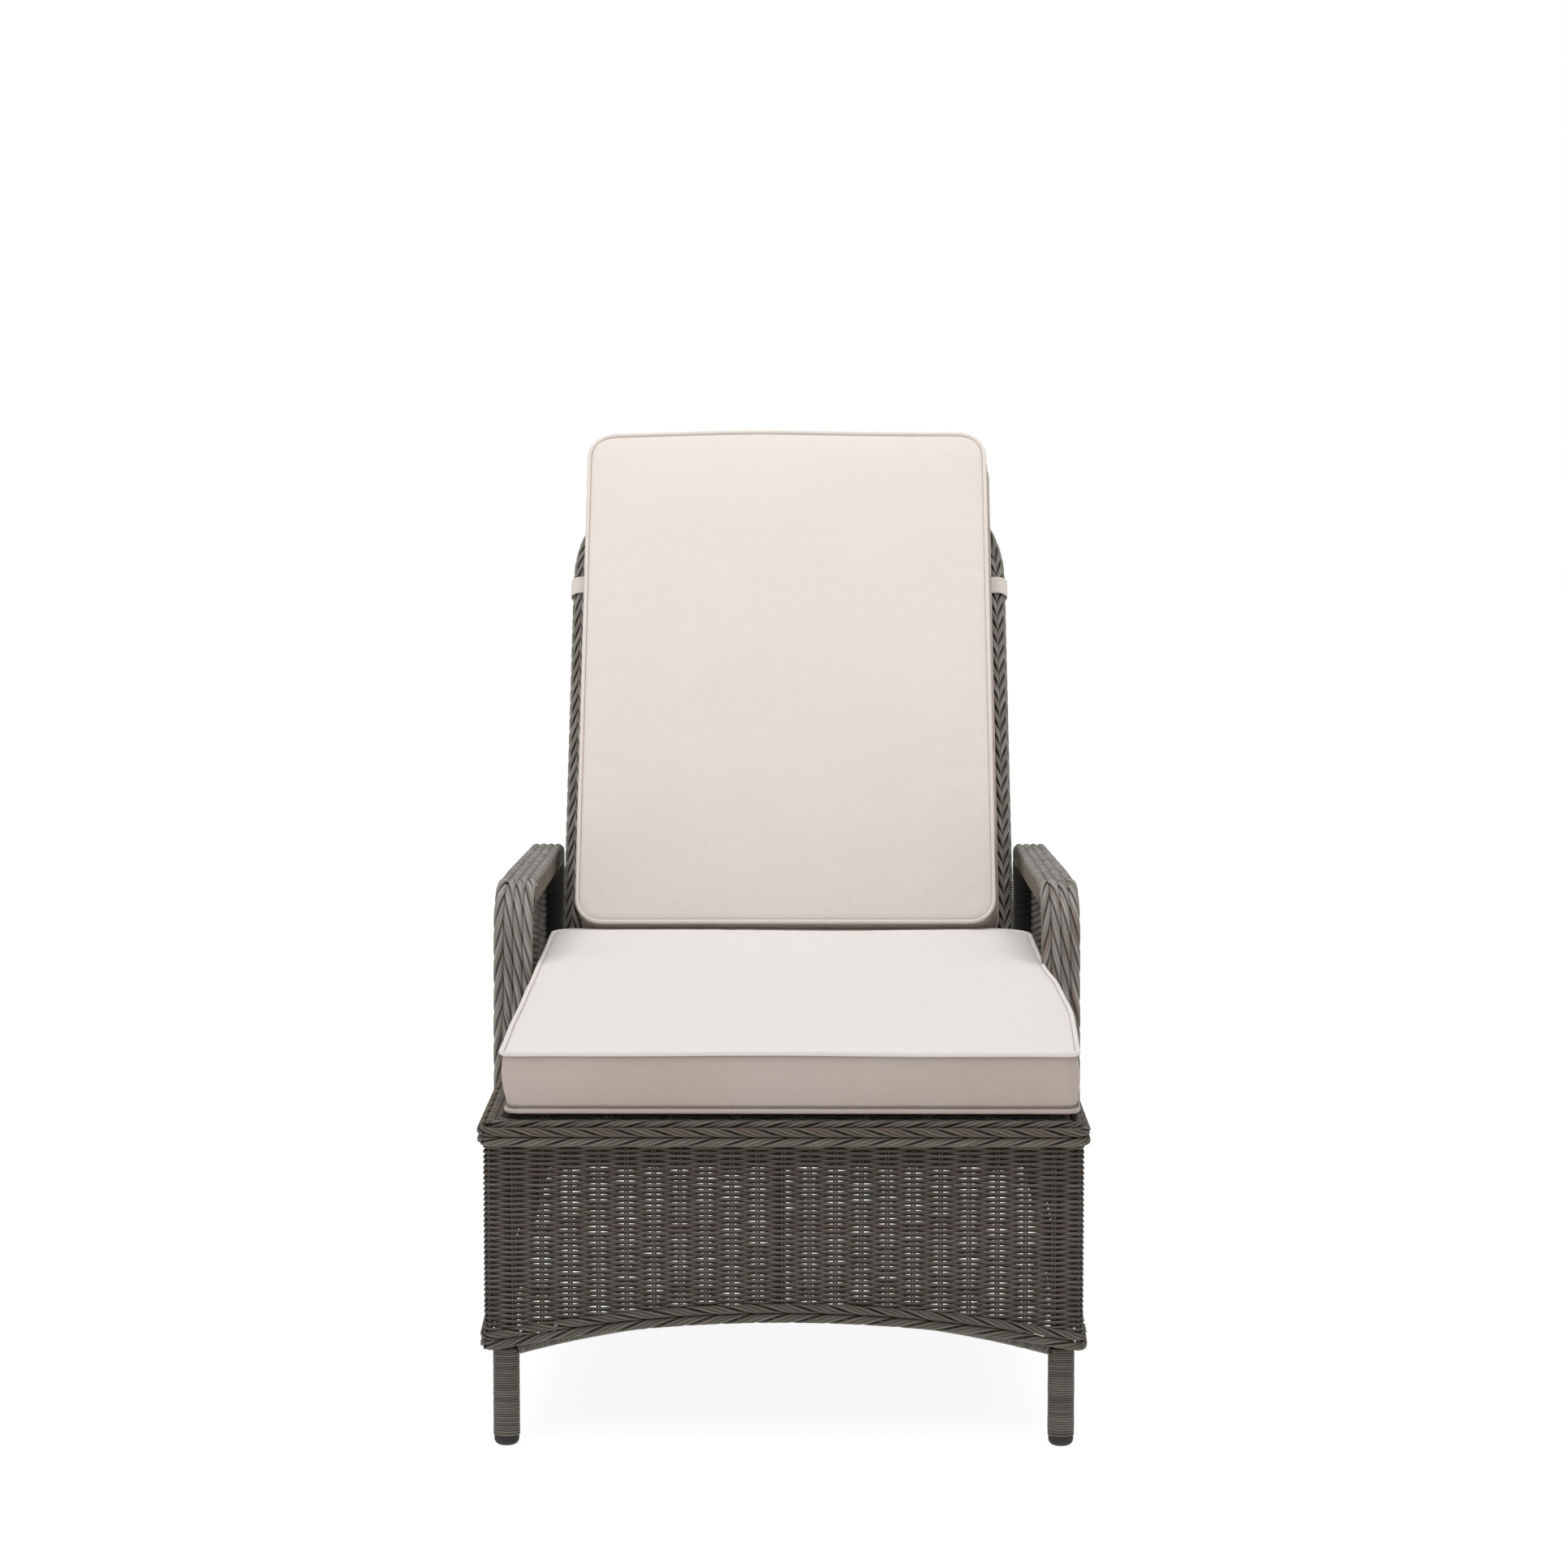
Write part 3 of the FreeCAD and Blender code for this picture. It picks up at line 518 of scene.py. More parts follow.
def border_pieces(prefix, ropes, stands_for, light):
    """Ropes round the base, cut into four pieces. Each rope is (outset, height, hand, follows the arch)."""
    weaves = [Weave() for _ in SIDES]
    for outset, height, hand, arched in ropes:
        points, _ = perimeter(HALF_X + outset, HALF_Y + outset, CORNER + 0.004 + outset)
        path, along = resample(np.column_stack([points, np.zeros(len(points))]), 0.0054)
        if arched:
            path[:, 2] = base_arch(path[:, 0], path[:, 1], ARCH_END) + height
            kernel = np.hanning(9) / np.hanning(9).sum()
            padded = np.concatenate([path[-5:-1, 2], path[:, 2], path[1:5, 2]])
            path[:, 2] = np.convolve(padded, kernel, "valid")
        else:
            path[:, 2] = height
        pitch = along[-1] / round(along[-1] / BORDER_PITCH)
        corners = [0]
        for sign_x, sign_y in ((1, -1), (1, 1), (-1, 1)):
            corners.append(int(np.argmax(path[:, 0] * sign_x + path[:, 1] * sign_y)))
        corners.append(len(path) - 1)
        _, normal, side = frames(path, (0, 0, 1))
        angle = np.radians(np.array(BUNDLES, float))[:, None] + hand * 2 * math.pi * along / pitch
        out = np.cos(angle)[..., None] * normal + np.sin(angle)[..., None] * side
        lines = path + BORDER_RADIUS * out
        for weave, first, last in zip(weaves, corners, corners[1:]):
            weave.strands(lines[:, first:last + 1], BORDER_STRAND, out[:, first:last + 1], 6, dark=0.1,
                          light=light)
    for name, weave in zip(SIDES, weaves):
        weave.build(prefix + name, strand_brown, "base", stands_for=stands_for if name == "front" else ())


TOP_ROPES = [(-0.0052, 0.4045, -1, False), (0.006, 0.397, 1, False), (0.0058, 0.385, -1, False),
             (-0.0168, 0.405, 1, False), (-0.0112, 0.3955, -1, False)]
HEM_ROPES = [(0.003, 0.0165, 1, True), (0.0034, 0.0045, -1, True)]
# painted shade: the last value darkens the top braid a little and the hem braid more, as the shade low
# under the base
border_pieces("top_braid_", TOP_ROPES, ["top_border"], 0.95)
border_pieces("hem_braid_", HEM_ROPES, ["bottom_border"], 0.8)


# ---------- legs and lower rails
for end, sign_y in (("front", -1), ("rear", 1)):
    for side, sign_x in (("left", -1), ("right", 1)):
        weave = Weave()
        x, y = sign_x * LEG_X, sign_y * LEG_Y
        weave.wraps([(x, y, LEG_LOW), (x, y, LEG_TOP)], (0, -1, 0), LEG_WRAP, LEG_WRAP, sides=28)
        weave.build("leg_wrap_%s_%s" % (end, side), strand_brown, "base",
                    stands_for=["leg_wraps"] if (end, side) == ("front", "left") else ())

for name, half_span, rise, plane in (("front", 0.3297, 0.0442, -1.075), ("rear", 0.3297, 0.0442, 1.075),
                                     ("left", 1.0555, 0.062, -0.3535), ("right", 1.0555, 0.062, 0.3535)):
    along = np.linspace(-half_span, half_span, 60)
    heights = arch_height(np.abs(along), half_span, LOWER_RAIL_END, rise)
    across = np.full(len(along), plane)
    lengthways = name in ("left", "right")
    path = np.column_stack([across, along, heights] if lengthways else [along, across, heights])
    weave = Weave()
    weave.wraps(path, (0, 0, 1), LOWER_RAIL_WRAP, LOWER_RAIL_WRAP, sides=10 if lengthways else 14, tilt=0.3)
    weave.build("lower_wrap_" + name, strand_brown, "base", stands_for=["lower_rail_" + name])


# ---------- arms
def arm_profile(inset, first, last):
    """The arm's outline seen from the side, from an angle in the front bend to one in the rear bend."""
    radius = ARM_BEND - inset
    front = arc((ARM_FRONT + ARM_BEND, ARM_TOP - ARM_BEND), radius, first, 90, 10)
    rear = arc((ARM_REAR - ARM_BEND, ARM_TOP - ARM_BEND), radius, 90, last, 10)
    return np.concatenate([front, rear])


def arm_edge(y, share):
    """X of a line along the right arm: share is 0 at its inner edge and 1 at its outer edge."""
    t = (y - ARM_FRONT) / (ARM_REAR - ARM_FRONT)
    inner = ARM_INNER[0] + (ARM_INNER[1] - ARM_INNER[0]) * t
    outer = ARM_OUTER[0] + (ARM_OUTER[1] - ARM_OUTER[0]) * t
    return inner + (outer - inner) * share


def arm_core(side, sign, turned):
    """The wrapped core: front post and top in one, the foot below it, the rear post and the inner skirt."""
    core = Weave()
    profile = arm_profile(ARM_CORE_INSET, 180, 5)
    profile = np.concatenate([[[profile[0, 0], ARM_SEAT]], profile])
    path = np.column_stack([arm_edge(profile[:, 0], 0.5), profile])
    core.wraps(turned(path), (sign, 0, 0), [0.0272, 0.0268, 0.0213], 0.0076, sides=28, power=5.0, tilt=0.0,
               bump=0.0011)
    foot = [(ARM_FOOT_X, ARM_FRONT + 0.0158, ARM_FOOT), (ARM_FOOT_X, ARM_FRONT + 0.0158, ARM_SEAT)]
    core.wraps(turned(foot), (sign, 0, 0), 0.0178, 0.0076, sides=24, power=5.0, tilt=0.0)
    post = [(ARM_POST_X, 0.2975, ARM_SEAT), (ARM_POST_X, 0.2975, ARM_TOP - ARM_BEND),
            (ARM_POST_X, 0.29, 0.56), (ARM_POST_X, 0.278, 0.578)]
    # painted shadow: the rear post's colour is darkened to the deep shade under the arm
    core.wraps(turned(post), (sign, 0, 0), 0.0175, 0.014, sides=24, light=0.25)
    skirt_y = np.linspace(ARM_FRONT + 0.068, ARM_REAR - 0.02, 12)
    skirt = np.column_stack([arm_edge(skirt_y, 0.1), skirt_y, np.full(12, 0.587)])
    core.wraps(turned(skirt), (sign, 0, 0), 0.0052, 0.0135, sides=16, power=4.0, tilt=0.25, bump=0.0012)
    core.build("arm_core_" + side, strand_brown, "base",
               stands_for=["arm_cover_" + side, "arm_frame_" + side])


def arm_ribs(side, sign, turned):
    """Four wound ribs along the top of the arm, over its rear bend and down the rear post."""
    ribs = Weave()
    profile = arm_profile(ARM_RIB_INSET, 92, 0)
    profile = profile[profile[:, 0] > ARM_FRONT + 0.09]
    start = [[ARM_FRONT + 0.086, ARM_TOP - 0.0105], [ARM_FRONT + 0.096, ARM_TOP - ARM_RIB_INSET]]
    profile = np.concatenate([start, profile, [[ARM_REAR - ARM_RIB_INSET, ARM_SEAT]]])
    for share in (0.125, 0.375, 0.625, 0.875):
        path = np.column_stack([arm_edge(profile[:, 0], share), profile])
        ribs.wraps(turned(path), (sign, 0, 0), [0.006, 0.0071, 0.0069, 0.0066, 0.0064, 0.0062, 0.006],
                   [0.005, 0.0068, 0.0067, 0.0064, 0.0064, 0.0062, 0.006], pitch=0.0043, bump=0.0021,
                   sides=14, tilt=0.35)
    ribs.build("arm_ribs_" + side, strand_grey, "base")


def arm_ropes(side, sign, turned):
    """Four twisted ropes over the front bend and down the post, and a thin one on its outer side."""
    ropes = Weave()
    # X above the border, X below it, and the height where the rope ends
    columns = [(0.368, 0.368, ARM_SEAT), (0.3817, 0.3862, ARM_FOOT), (0.3953, 0.398, ARM_FOOT),
               (0.4088, 0.4095, ARM_FOOT)]
    front = ARM_FRONT + 0.0066
    bend = arc((ARM_FRONT + ARM_BEND, ARM_TOP - ARM_BEND), ARM_BEND - ARM_ROPE_INSET, 95, 180, 12)
    start = [[ARM_FRONT + 0.104, ARM_TOP - 0.0135], [ARM_FRONT + 0.088, ARM_TOP - 0.0075]]
    bend = np.concatenate([start, bend])
    for number, (high_x, low_x, foot_z) in enumerate(columns if sign > 0 else columns[::-1]):
        share = (high_x - ARM_INNER[0]) / (ARM_OUTER[0] - ARM_INNER[0])
        high = np.column_stack([arm_edge(bend[:, 0], share), bend])
        down = [(high_x, front, 0.5), (high_x, front, 0.45), (low_x, front, 0.416), (low_x, front, foot_z)]
        path, along = resample(turned(np.concatenate([high, down])), 0.0045)
        rope(ropes, path, along, (0, -1, 0.3), 0.0044, 0.0031, 0.118, (-19, 19, 101, 139, 221, 259),
             1 if number == 0 else -1, 8, start=0.0313 * number)
    edge = [(0.4105, ARM_FRONT + 0.017, 0.556), (0.4105, ARM_FRONT + 0.017, ARM_FOOT)]
    path, along = resample(turned(edge), 0.005)
    rope(ropes, path, along, (0, -1, 0), 0.0034, 0.0022, 0.084, (0, 180), 1, 6)
    ropes.build("arm_ropes_" + side, strand_grey, "base")


def arm_panel(side, turned):
    """The woven side under the arm. Its rows end inside the arm's bends."""
    panel = Weave()
    posts = np.linspace(-0.285, 0.292, 18)
    for row, height in enumerate(np.arange(0.4138, 0.589, 0.005)):
        rise = max(height - (ARM_TOP - ARM_BEND), 0)
        short = ARM_BEND - math.sqrt(ARM_BEND ** 2 - rise ** 2)
        samples = np.linspace(posts[0] + short, posts[-1] - short, 3 * len(posts) - 2)
        phase = np.interp(samples, posts, np.arange(len(posts)))
        swing = ARM_PANEL + 0.0016 * np.cos(math.pi * (phase + row % 2))
        drift = 0.0002 * np.sin(samples * 31 + row * 2.1)
        line = np.column_stack([swing, samples, height + drift])
        # painted light and shade: the rows are lighter at the front of the arm and darker further in, where
        # the arm's top shades them; dark=0.5 paints shade on their lower sides
        painted_panel_light = np.interp(samples, [ARM_FRONT + 0.06, ARM_FRONT + 0.14], [1.4, 0.9])[:, None]
        panel.strands(turned(line), 0.0021, (0, 0, 1), 6, dark=0.5, light=painted_panel_light)
    for post in posts[1:-1]:
        for gap in (-STAKE_GAP, STAKE_GAP):
            line = [(ARM_PANEL, post + gap, 0.4115), (ARM_PANEL, post + gap, 0.5895)]
            panel.strands(turned(line), STAKE, (1, 0, 0), 5)
    panel.build("arm_weave_" + side, strand_grey, "base", stands_for=["arm_panel_" + side])


def arm(side, sign):
    def turned(path):
        return np.asarray(path) * np.array([sign, 1, 1])

    arm_core(side, sign, turned)
    arm_ribs(side, sign, turned)
    arm_ropes(side, sign, turned)
    arm_panel(side, turned)


arm("left", -1)
arm("right", 1)


# ---------- deck
deck = Weave()
deck_stakes = np.linspace(-0.335, 0.335, 18)
samples = np.linspace(deck_stakes[0], deck_stakes[-1], 3 * len(deck_stakes) - 2)
samples = np.concatenate([[-DECK_HALF], samples, [DECK_HALF]])
phase = np.interp(samples, deck_stakes, np.arange(len(deck_stakes)))
for row, y in enumerate(np.arange(DECK_FRONT + 0.0005, DECK_REAR - 0.002, DECK_PITCH)):
    lift = DECK_HEIGHT + 0.0015 * np.cos(math.pi * (phase + row % 2))
    line = np.column_stack([samples, np.full(len(samples), y), lift])
    # painted shade: the whole deck webbing is darkened, as the shade under the seat cushion
    deck.strands(line, 0.0034, (0, 0, 1), 6, flat=0.34, light=0.35)
# painted shade: extra dark flat strands under the front of the deck, a dark layer put where the gap under
# the seat cushion is in shade
for y in np.arange(-1.07, -0.97, DECK_PITCH):
    line = [(-DECK_HALF, y, DECK_HEIGHT - 0.0033), (DECK_HALF, y, DECK_HEIGHT - 0.0033)]
    deck.strands(line, 0.0042, (0, 0, 1), 6, flat=0.25, light=0.2)
for x in deck_stakes:
    for gap in (-0.0032, 0.0032):
        line = [(x + gap, DECK_FRONT, DECK_HEIGHT), (x + gap, DECK_REAR, DECK_HEIGHT)]
        deck.strands(line, 0.003, (0, 0, 1), 6, flat=0.3)
deck.build("deck_webbing", strand_brown, "base", stands_for=["deck_weave"])


# ---------- backrest
back_along = np.array([0, math.cos(BACK_TURN), math.sin(BACK_TURN)])
back_rise = np.array([0, -math.sin(BACK_TURN), math.cos(BACK_TURN)])


def on_back(x, along, rise):
    """A point of the raised backrest from its place across, along and in front of it."""
    x, along, rise = np.broadcast_arrays(np.asarray(x, float), along, rise)
    origin = np.array([0, HINGE_Y, HINGE_Z])
    return origin + x[..., None] * np.array([1, 0, 0]) + along[..., None] * back_along \
        + rise[..., None] * back_rise


def braid_path():
    """Centre line of the backrest's U, from the left foot over the top to the right foot."""
    left = arc((-RAIL_X + RAIL_BEND, RAIL_TOP - RAIL_BEND), RAIL_BEND, 180, 90, 12)
    right = arc((RAIL_X - RAIL_BEND, RAIL_TOP - RAIL_BEND), RAIL_BEND, 90, 0, 12)
    plan = np.concatenate([[[-RAIL_X, RAIL_LOW]], left, right, [[RAIL_X, RAIL_LOW]]])
    return on_back(plan[:, 0], plan[:, 1], RAIL_RISE)


braid = Weave()
path, along = resample(braid_path(), 0.006)
_, normal, side = frames(path, back_rise)
pitch = along[-1] / round(along[-1] / 0.078)
for column in range(6):
    lean = math.radians(30 + 60 * column)
    outwards = math.cos(lean) * normal + math.sin(lean) * side
    across = math.cos(lean) * side - math.sin(lean) * normal
    hand = 1 if column % 2 else -1
    for turn in (-17, 17, 103, 137, 223, 257):
        angle = (math.radians(turn + 47 * column) + hand * 2 * math.pi * along / pitch)[:, None]
        out = np.cos(angle) * outwards + np.sin(angle) * across
        line = path + (0.0102 + 0.0024 * np.cos(angle)) * outwards + 0.0052 * np.sin(angle) * across
        braid.strands(line, 0.002, out, 6, dark=0.15)
braid.build("rail_braid", strand_grey, "backrest", stands_for=["backrest_braid"])

panel = Weave()
panel_stakes = np.linspace(-0.3, 0.3, 19)
stake_step = panel_stakes[1] - panel_stakes[0]
shoulder = RAIL_TOP - RAIL_BEND
bend_x = RAIL_X - RAIL_BEND
for row, u in enumerate(np.arange(PANEL_LOW, PANEL_TOP, ROW_PITCH)):
    reach_x = PANEL_HALF
    if u > shoulder:
        reach_x = bend_x + math.sqrt(max(PANEL_BEND ** 2 - (u - shoulder) ** 2, 0.0))
    x = np.linspace(-reach_x, reach_x, max(8, int(2 * reach_x / 0.0111)))
    wave = np.cos(math.pi * ((x - panel_stakes[0]) / stake_step + row % 2))
    panel.strands(on_back(x, u, PANEL_RISE + 0.0026 * wave), STRAND, back_along, 4)
for x in panel_stakes:
    top = PANEL_TOP
    if abs(x) >= bend_x:
        top = shoulder + math.sqrt((PANEL_TOP - shoulder) ** 2 - (abs(x) - bend_x) ** 2)
    for gap in (-STAKE_GAP, STAKE_GAP):
        line = on_back(np.array([x + gap] * 2), np.array([PANEL_LOW - 0.002, top]), PANEL_RISE)
        panel.strands(line, STAKE, back_rise, 5)
panel.build("back_weave", strand_brown, "backrest", stands_for=["backrest_panel"])


# ---------- cushions
def outline(left, right, low, high, radii, step=0.01):
    """The four sides of a rounded rectangle. Radii go round from the low left corner."""
    corners = [(left, low, 1, 1, 180), (right, low, -1, 1, 270), (right, high, -1, -1, 0),
               (left, high, 1, -1, 90)]
    arcs = []
    for (x, y, inwards_x, inwards_y, start), radius in zip(corners, radii):
        count = max(5, int(math.pi / 2 * radius / (step * 0.5)) | 1)
        centre = (x + inwards_x * radius, y + inwards_y * radius)
        arcs.append(arc(centre, radius, start, start + 90, count))
    return [np.concatenate([here[len(here) // 2:], following[:len(following) // 2 + 1]])
            for here, following in zip(arcs, arcs[1:] + arcs[:1])]


def spaced(points, count):
    """A number of evenly spaced points along a flat line."""
    lengths = np.concatenate([[0], np.cumsum(np.linalg.norm(np.diff(points, axis=0), axis=1))])
    at = np.linspace(0, lengths[-1], count)
    return np.stack([np.interp(at, lengths, points[:, k]) for k in (0, 1)], 1)


def cushion_grid(sides, cell):
    """Coons patch over the outline: (columns, rows, 2) points."""
    low, right, high, left = sides
    columns = max(8, int(round((np.ptp(low[:, 0])) / cell)))
    rows = max(8, int(round((np.ptp(right[:, 1])) / cell)))
    low, high = spaced(low, columns + 1), spaced(high, columns + 1)[::-1]
    right, left = spaced(right, rows + 1), spaced(left, rows + 1)[::-1]
    u = np.linspace(0, 1, columns + 1)[:, None, None]
    v = np.linspace(0, 1, rows + 1)[None, :, None]
    edges = (1 - v) * low[:, None] + v * high[:, None] + (1 - u) * left[None] + u * right[None]
    corners = (1 - u) * (1 - v) * low[0] + u * (1 - v) * low[-1] + u * v * high[-1] + (1 - u) * v * high[0]
    return edges - corners


def cushion_mesh(name, sides, bottom, top, cell, layers, bulge):
    """Box cushion: two faces and a boxing band. Returns it, its seam vertices, and its rim with the
    rim's outward directions."""
    grid = cushion_grid(sides, cell)
    columns, rows = grid.shape[0] - 1, grid.shape[1] - 1
    index = np.arange((columns + 1) * (rows + 1)).reshape(columns + 1, rows + 1)
    flat = grid.reshape(-1, 2)
    lower = np.column_stack([flat, np.full(len(flat), bottom)])
    upper = np.column_stack([flat, np.full(len(flat), top)])
    rim = np.concatenate([index[:-1, 0], index[-1, :-1], index[:0:-1, -1], index[0, :0:-1]])
    count = len(flat)
    ring_points = flat[rim]
    out = np.roll(ring_points, -1, axis=0) - np.roll(ring_points, 1, axis=0)
    out = unit(np.column_stack([out[:, 1], -out[:, 0]]))
    points = [lower, upper]
    rings = [rim]
    total = 2 * count
    for layer in range(1, layers):
        share = layer / layers
        swell = bulge * math.sin(math.pi * share)
        level = np.full(len(rim), bottom + (top - bottom) * share)
        points.append(np.column_stack([ring_points + out * swell, level]))
        rings.append(total + np.arange(len(rim)))
        total += len(rim)
    rings.append(rim + count)
    face = np.stack([index[:-1, :-1], index[:-1, 1:], index[1:, 1:], index[1:, :-1]], -1).reshape(-1, 4)
    quads = [face, face[:, ::-1] + count]
    for below, above in zip(rings, rings[1:]):
        quads.append(np.stack([below, np.roll(below, -1), np.roll(above, -1), above], -1))
    points = np.concatenate(points)
    quads = np.concatenate(quads)
    mesh = bpy.data.meshes.new(name)
    mesh.from_pydata(points.tolist(), [], quads.tolist())
    mesh.polygons.foreach_set("use_smooth", np.ones(len(quads), bool))
    mesh.polygons.foreach_set("material_index", (np.arange(len(quads)) >= 2 * len(face)).astype(np.int32))
    mesh.update()
    piece = bpy.data.objects.new(name, mesh)
    bpy.context.scene.collection.objects.link(piece)
    seams = np.concatenate([rim, rim + count])
    return piece, seams, ring_points, out


def coordinates(piece):
    points = np.zeros(len(piece.data.vertices) * 3)
    piece.data.vertices.foreach_get("co", points)
    return points.reshape(-1, 3)


def set_coordinates(piece, points):
    piece.data.vertices.foreach_set("co", points.ravel())
    piece.data.update()


def puff(piece, seams, pressure, cap, slack):
    """Inflate the cushion with its seams held, and cap how far any point moves."""
    start = coordinates(piece)
    group = piece.vertex_groups.new(name="seams")
    group.add([int(index) for index in seams], 1.0, "REPLACE")
    bpy.context.view_layer.objects.active = piece
    modifier = piece.modifiers.new("cloth", "CLOTH")
    settings = modifier.settings
    settings.quality = 6
    settings.mass = 0.3
    settings.tension_stiffness = 30
    settings.compression_stiffness = 30
    settings.shear_stiffness = 12
    settings.bending_stiffness = 0.6
    settings.use_pressure = True
    settings.uniform_pressure_force = pressure
    settings.shrink_min = slack
    settings.vertex_group_mass = "seams"
    settings.effector_weights.gravity = 0
    scene = bpy.context.scene
    for number in range(1, 21):
        scene.frame_set(number)
    evaluated = piece.evaluated_get(bpy.context.evaluated_depsgraph_get())
    moved = np.zeros(len(start) * 3)
    evaluated.data.vertices.foreach_get("co", moved)
    moved = moved.reshape(-1, 3)
    piece.modifiers.remove(modifier)
    piece.vertex_groups.clear()
    scene.frame_set(1)
    shift = moved - start
    length = np.linalg.norm(shift, axis=1, keepdims=True)
    shift *= np.minimum(1, cap / np.maximum(length, 1e-9))
    return start + shift


def subdivide(piece):
    modifier = piece.modifiers.new("subdivision", "SUBSURF")
    modifier.levels = modifier.render_levels = 1
    evaluated = piece.evaluated_get(bpy.context.evaluated_depsgraph_get())
    mesh = bpy.data.meshes.new_from_object(evaluated)
    piece.modifiers.clear()
    piece.data = mesh


def soft_noise(points, scale, seed):
    """Smooth noise from a few sine waves, about -1 to 1."""
    source = np.random.default_rng(seed)
    total = 0
    for _ in range(6):
        direction = source.normal(size=3)
        direction *= scale * (0.6 + 0.8 * source.random()) / np.linalg.norm(direction)
        total = total + np.sin(points @ direction + source.random() * 6.3)
    return total / 3.5


def cushion(name, sides, bottom, top, floor, crown, body, node, to_world, shape, cover):
    """A boxed cushion with piping along both seams, and a thin dark cord beside each piping as painted
    shadow of the crease.
    """
    piece, seams, ring, out = cushion_mesh(name, sides, bottom, top, 0.0105, 7, 0.0045)
    points = puff(piece, seams, pressure=3.0, cap=0.024, slack=-0.004)
    over = points[:, 2] - top
    points[:, 2] = np.where(over > 0, top + crown * (1 - np.exp(-over / crown)), points[:, 2])
    points[:, 2] = np.maximum(points[:, 2], floor)
    set_coordinates(piece, points)
    subdivide(piece)
    set_coordinates(piece, to_world(shape(coordinates(piece))))
    piece.data.materials.append(cover)
    piece.data.materials.append(boxing)
    place(piece, body, [node])
    seam_shadow_cords = Weave()
    closed = np.concatenate([ring, ring[:2]])
    outward = np.concatenate([out, out[:2]])
    for level, sign, ending, radius, fabric in ((bottom, -1, "_low_piping", LOW_WELT, boxing),
                                                (top, 1, "_piping", WELT, cover)):
        seam = np.column_stack([closed + outward * 0.0022, np.full(len(closed), level - 0.0009)])
        welt = Weave()
        welt.strands(to_world(shape(resample(seam, 0.006)[0])), radius, (0, 0, 1), 8)
        welt.build(name + ending, fabric, body, "cushion")
        # painted shadow: a thin dark cord just beside each piping stands in for the shadow in the crease
        under = np.column_stack([closed + outward * 0.0024, np.full(len(closed), level - sign * 0.0038)])
        seam_shadow_cords.strands(to_world(shape(resample(under, 0.006)[0])), 0.0006, (0, 0, 1), 5)
    seam_shadow_cords.build(name + "_crease_shadow", painted_crease_shadow, body, "cushion")


def seat_shape(points):
    """Bowed sides, a wider right edge ahead of the arm's post, and a little unevenness."""
    x, y, z = points.T
    spots, bulges = [-1.08, -0.76, -0.46, -0.36, 0.07], [0.006, 0.018, 0.014, 0.006, 0.0035]
    right = sum(np.interp(y + shift, spots, bulges) for shift in (-0.06, -0.03, 0, 0.03, 0.06)) / 5
    band = np.clip((z - SEAT_BOTTOM) / (SEAT_TOP - SEAT_BOTTOM), 0, 1)
    left = np.interp(y, [-1.08, 0.07], [0.0075, 0.006]) + 0.0065 * (1 - band)
    share = np.clip((x + SEAT_HALF) / (2 * SEAT_HALF), 0, 1)
    x = x + right * share + left * (1 - share)
    wave = soft_noise(points, 20.0, 5)
    z = z + 0.0014 * wave * (z > 0.45)
    lift = 0.0045 * np.clip((z - 0.44) / 0.05, 0, 1) * np.clip((y + 1.08) / 1.1, 0, 1)
    return np.column_stack([x, y, z + lift])


def back_shape(points):
    """The front of the back cushion sits a little to the left of its rear, and its top edge is uneven."""
    x, y, z = points.T
    share = (z - BACK_BOTTOM) / (BACK_TOP - BACK_BOTTOM)
    x = x + 0.006 * (1 - share) - 0.001 * share
    x = x - 0.006 * np.clip(0.5 - x / 0.6, 0, 1)
    upper = np.clip((y - 0.8) / 0.16, 0, 1) ** 2
    y = y + upper * (0.0035 * np.exp(-((x + 0.05) / 0.14) ** 2) - 0.004 * np.clip(-x / 0.3, 0, 1) ** 3)
    wave = soft_noise(points, 12.0, 9)
    return np.column_stack([x, y, z + 0.001 * wave * (z > 0.1)])


def stay(points):
    return points


def to_back(points):
    return on_back(points[:, 0], points[:, 1], points[:, 2])


cushion("seat_pad", outline(-SEAT_HALF, SEAT_HALF, -1.0795, 0.063, (0.012, 0.012, 0.055, 0.04)),
        bottom=SEAT_BOTTOM, top=SEAT_TOP, floor=0.4157, crown=0.0095, body="base", node="seat_cushion",
        to_world=stay, shape=seat_shape, cover=cream_seat)
cushion("back_pad", outline(-BACK_HALF, BACK_HALF, 0.1045, 0.9625, (0.034, 0.034, 0.038, 0.038)),
        bottom=BACK_BOTTOM, top=BACK_TOP, floor=0.053, crown=0.01, body="backrest", node="back_cushion",
        to_world=to_back, shape=back_shape, cover=cream)


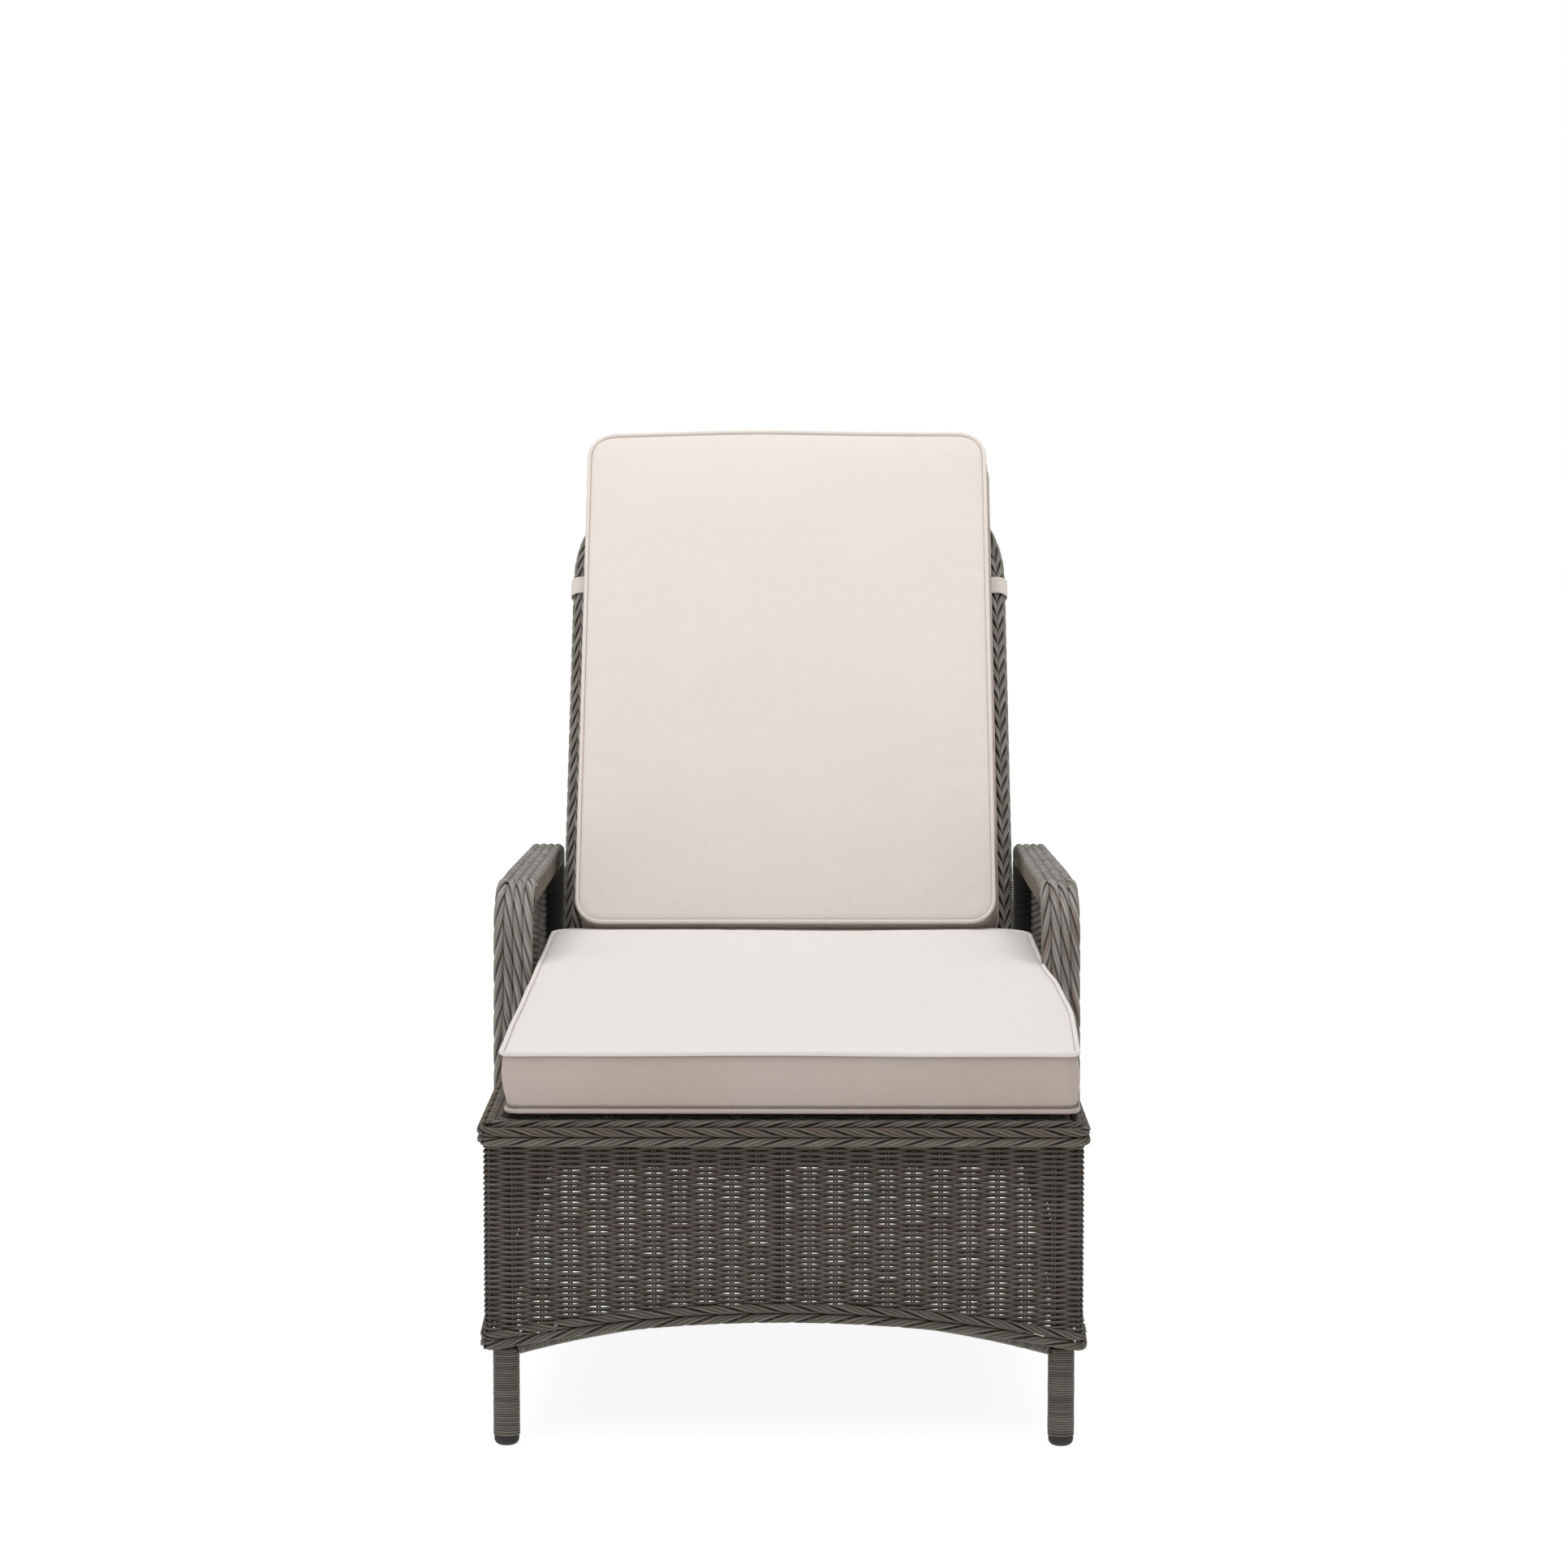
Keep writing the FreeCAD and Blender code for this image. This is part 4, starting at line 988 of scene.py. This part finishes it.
# ---------- straps
def strap(side, sign):
    """A flat band that leaves the cushion's rear edge, passes round the rail and ends under itself."""
    around = arc((RAIL_X, RAIL_RISE), STRAP_RADIUS, 88, -205, 34)
    plan = np.concatenate([[[0.284, 0.0513]], [[0.306, 0.053]], around])
    route, along = resample(np.column_stack([plan, np.zeros(len(plan))]), 0.0022)
    tangent = unit(np.gradient(route, axis=0))
    out = np.column_stack([-tangent[:, 1], tangent[:, 0], np.zeros(len(route))])
    points = []
    for share in np.linspace(0, 1, 9):
        rounding = 1 - 0.35 * abs(2 * share - 1) ** 8
        for face in (1, -1):
            edge = route + out * STRAP_THICK / 2 * face * rounding
            points.append(on_back(sign * edge[:, 0], STRAP_LOW + STRAP_WIDTH * share, edge[:, 1]))
    index = np.arange(len(points) * len(route)).reshape(-1, 2, len(route))

    def band(first, second, order):
        """Faces between two rows of vertices."""
        return np.stack([first[:-1], first[1:], second[1:], second[:-1]], -1).reshape(-1, 4)[:, ::order]

    quads = [band(index[k, face], index[k + 1, face], order)
             for face, order in ((0, 1), (1, -1)) for k in range(len(index) - 1)]
    quads += [band(index[edge, 0], index[edge, 1], order) for edge, order in ((0, -1), (-1, 1))]
    quads += [band(index[:, 0, end], index[:, 1, end], order) for end, order in ((0, 1), (-1, -1))]
    quads = np.concatenate(quads)
    if sign > 0:
        quads = quads[:, ::-1]
    mesh = bpy.data.meshes.new("tie_" + side)
    mesh.from_pydata(np.concatenate(points).tolist(), [], quads.tolist())
    mesh.polygons.foreach_set("use_smooth", np.ones(len(quads), bool))
    mesh.materials.append(cream)
    mesh.update()
    piece = place(bpy.data.objects.new("tie_" + side, mesh), "backrest", ["strap_" + side])


strap("left", -1)
strap("right", 1)


# ---------- CAD nodes that stay
STEEL_NODES = ("arm_bolts", "hinge_pins", "prop_rivets", "rack_left", "rack_right", "hinge_lugs",
               "prop_tabs", "hinge_bracket_left", "hinge_bracket_right")


def look_for(node):
    if node.startswith("foot_cap"):
        return rubber
    if node == "hinge_spacers":
        return moulded
    return brushed if node in STEEL_NODES else painted


for name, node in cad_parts.items():
    if not node.hide_render:
        for material_slot in node.material_slots:
            material_slot.material = look_for(name)


# ---------- floor, light and camera
floor_mesh = bpy.data.meshes.new("floor")
floor_mesh.from_pydata([(-60, -60, 0), (60, -60, 0), (60, 60, 0), (-60, 60, 0)], [], [(0, 1, 2, 3)])
floor = bpy.data.objects.new("floor", floor_mesh)
floor_material, nodes, links, shader = new_material("pale_floor", 0.9, 0.1)
shader.inputs["Base Color"].default_value = (0.3, 0.3, 0.3, 1)
shader.inputs["Emission Color"].default_value = (1, 1, 1, 1)
shader.inputs["Emission Strength"].default_value = 0.9
floor_mesh.materials.append(floor_material)
bpy.context.scene.collection.objects.link(floor)

world = bpy.data.worlds.new("studio")
bpy.context.scene.world = world
world.use_nodes = True
nodes, links = world.node_tree.nodes, world.node_tree.links
soft = nodes["Background"]
soft.inputs["Color"].default_value = (1, 1, 1, 1)
soft.inputs["Strength"].default_value = 0.32
bright = nodes.new("ShaderNodeBackground")
bright.inputs["Color"].default_value = (1, 1, 1, 1)
bright.inputs["Strength"].default_value = 1.0
mix = nodes.new("ShaderNodeMixShader")
path_node = nodes.new("ShaderNodeLightPath")
links.new(path_node.outputs["Is Camera Ray"], mix.inputs["Fac"])
links.new(soft.outputs["Background"], mix.inputs[1])
links.new(bright.outputs["Background"], mix.inputs[2])
links.new(mix.outputs["Shader"], nodes["World Output"].inputs["Surface"])


def lamp(name, location, target, size, power):
    light = bpy.data.lights.new(name, "AREA")
    light.shape = "RECTANGLE"
    light.size, light.size_y = size
    light.energy = power
    lamp_object = bpy.data.objects.new(name, light)
    lamp_object.location = location
    lamp_object.rotation_euler = (Vector(target) - Vector(location)).to_track_quat("-Z", "Y").to_euler()
    bpy.context.scene.collection.objects.link(lamp_object)


lamp("overhead", (0, -0.3, 4.2), (0, 0, 0.4), (5.0, 5.0), 150)
lamp("key", (-1.6, -4.7, 4.4), (0, -0.1, 0.6), (3.0, 2.4), 60)

camera_data = bpy.data.cameras.new("camera")
camera_data.sensor_width = 36
camera_data.lens = 96.894
camera = bpy.data.objects.new("camera", camera_data)
camera.location = (0.0296, -6.2295, 1.312)
camera.rotation_euler = (math.radians(90 - 5.38), 0, math.radians(0.324))
bpy.context.scene.collection.objects.link(camera)
bpy.context.scene.camera = camera
bpy.context.scene.view_settings.view_transform = "Standard"
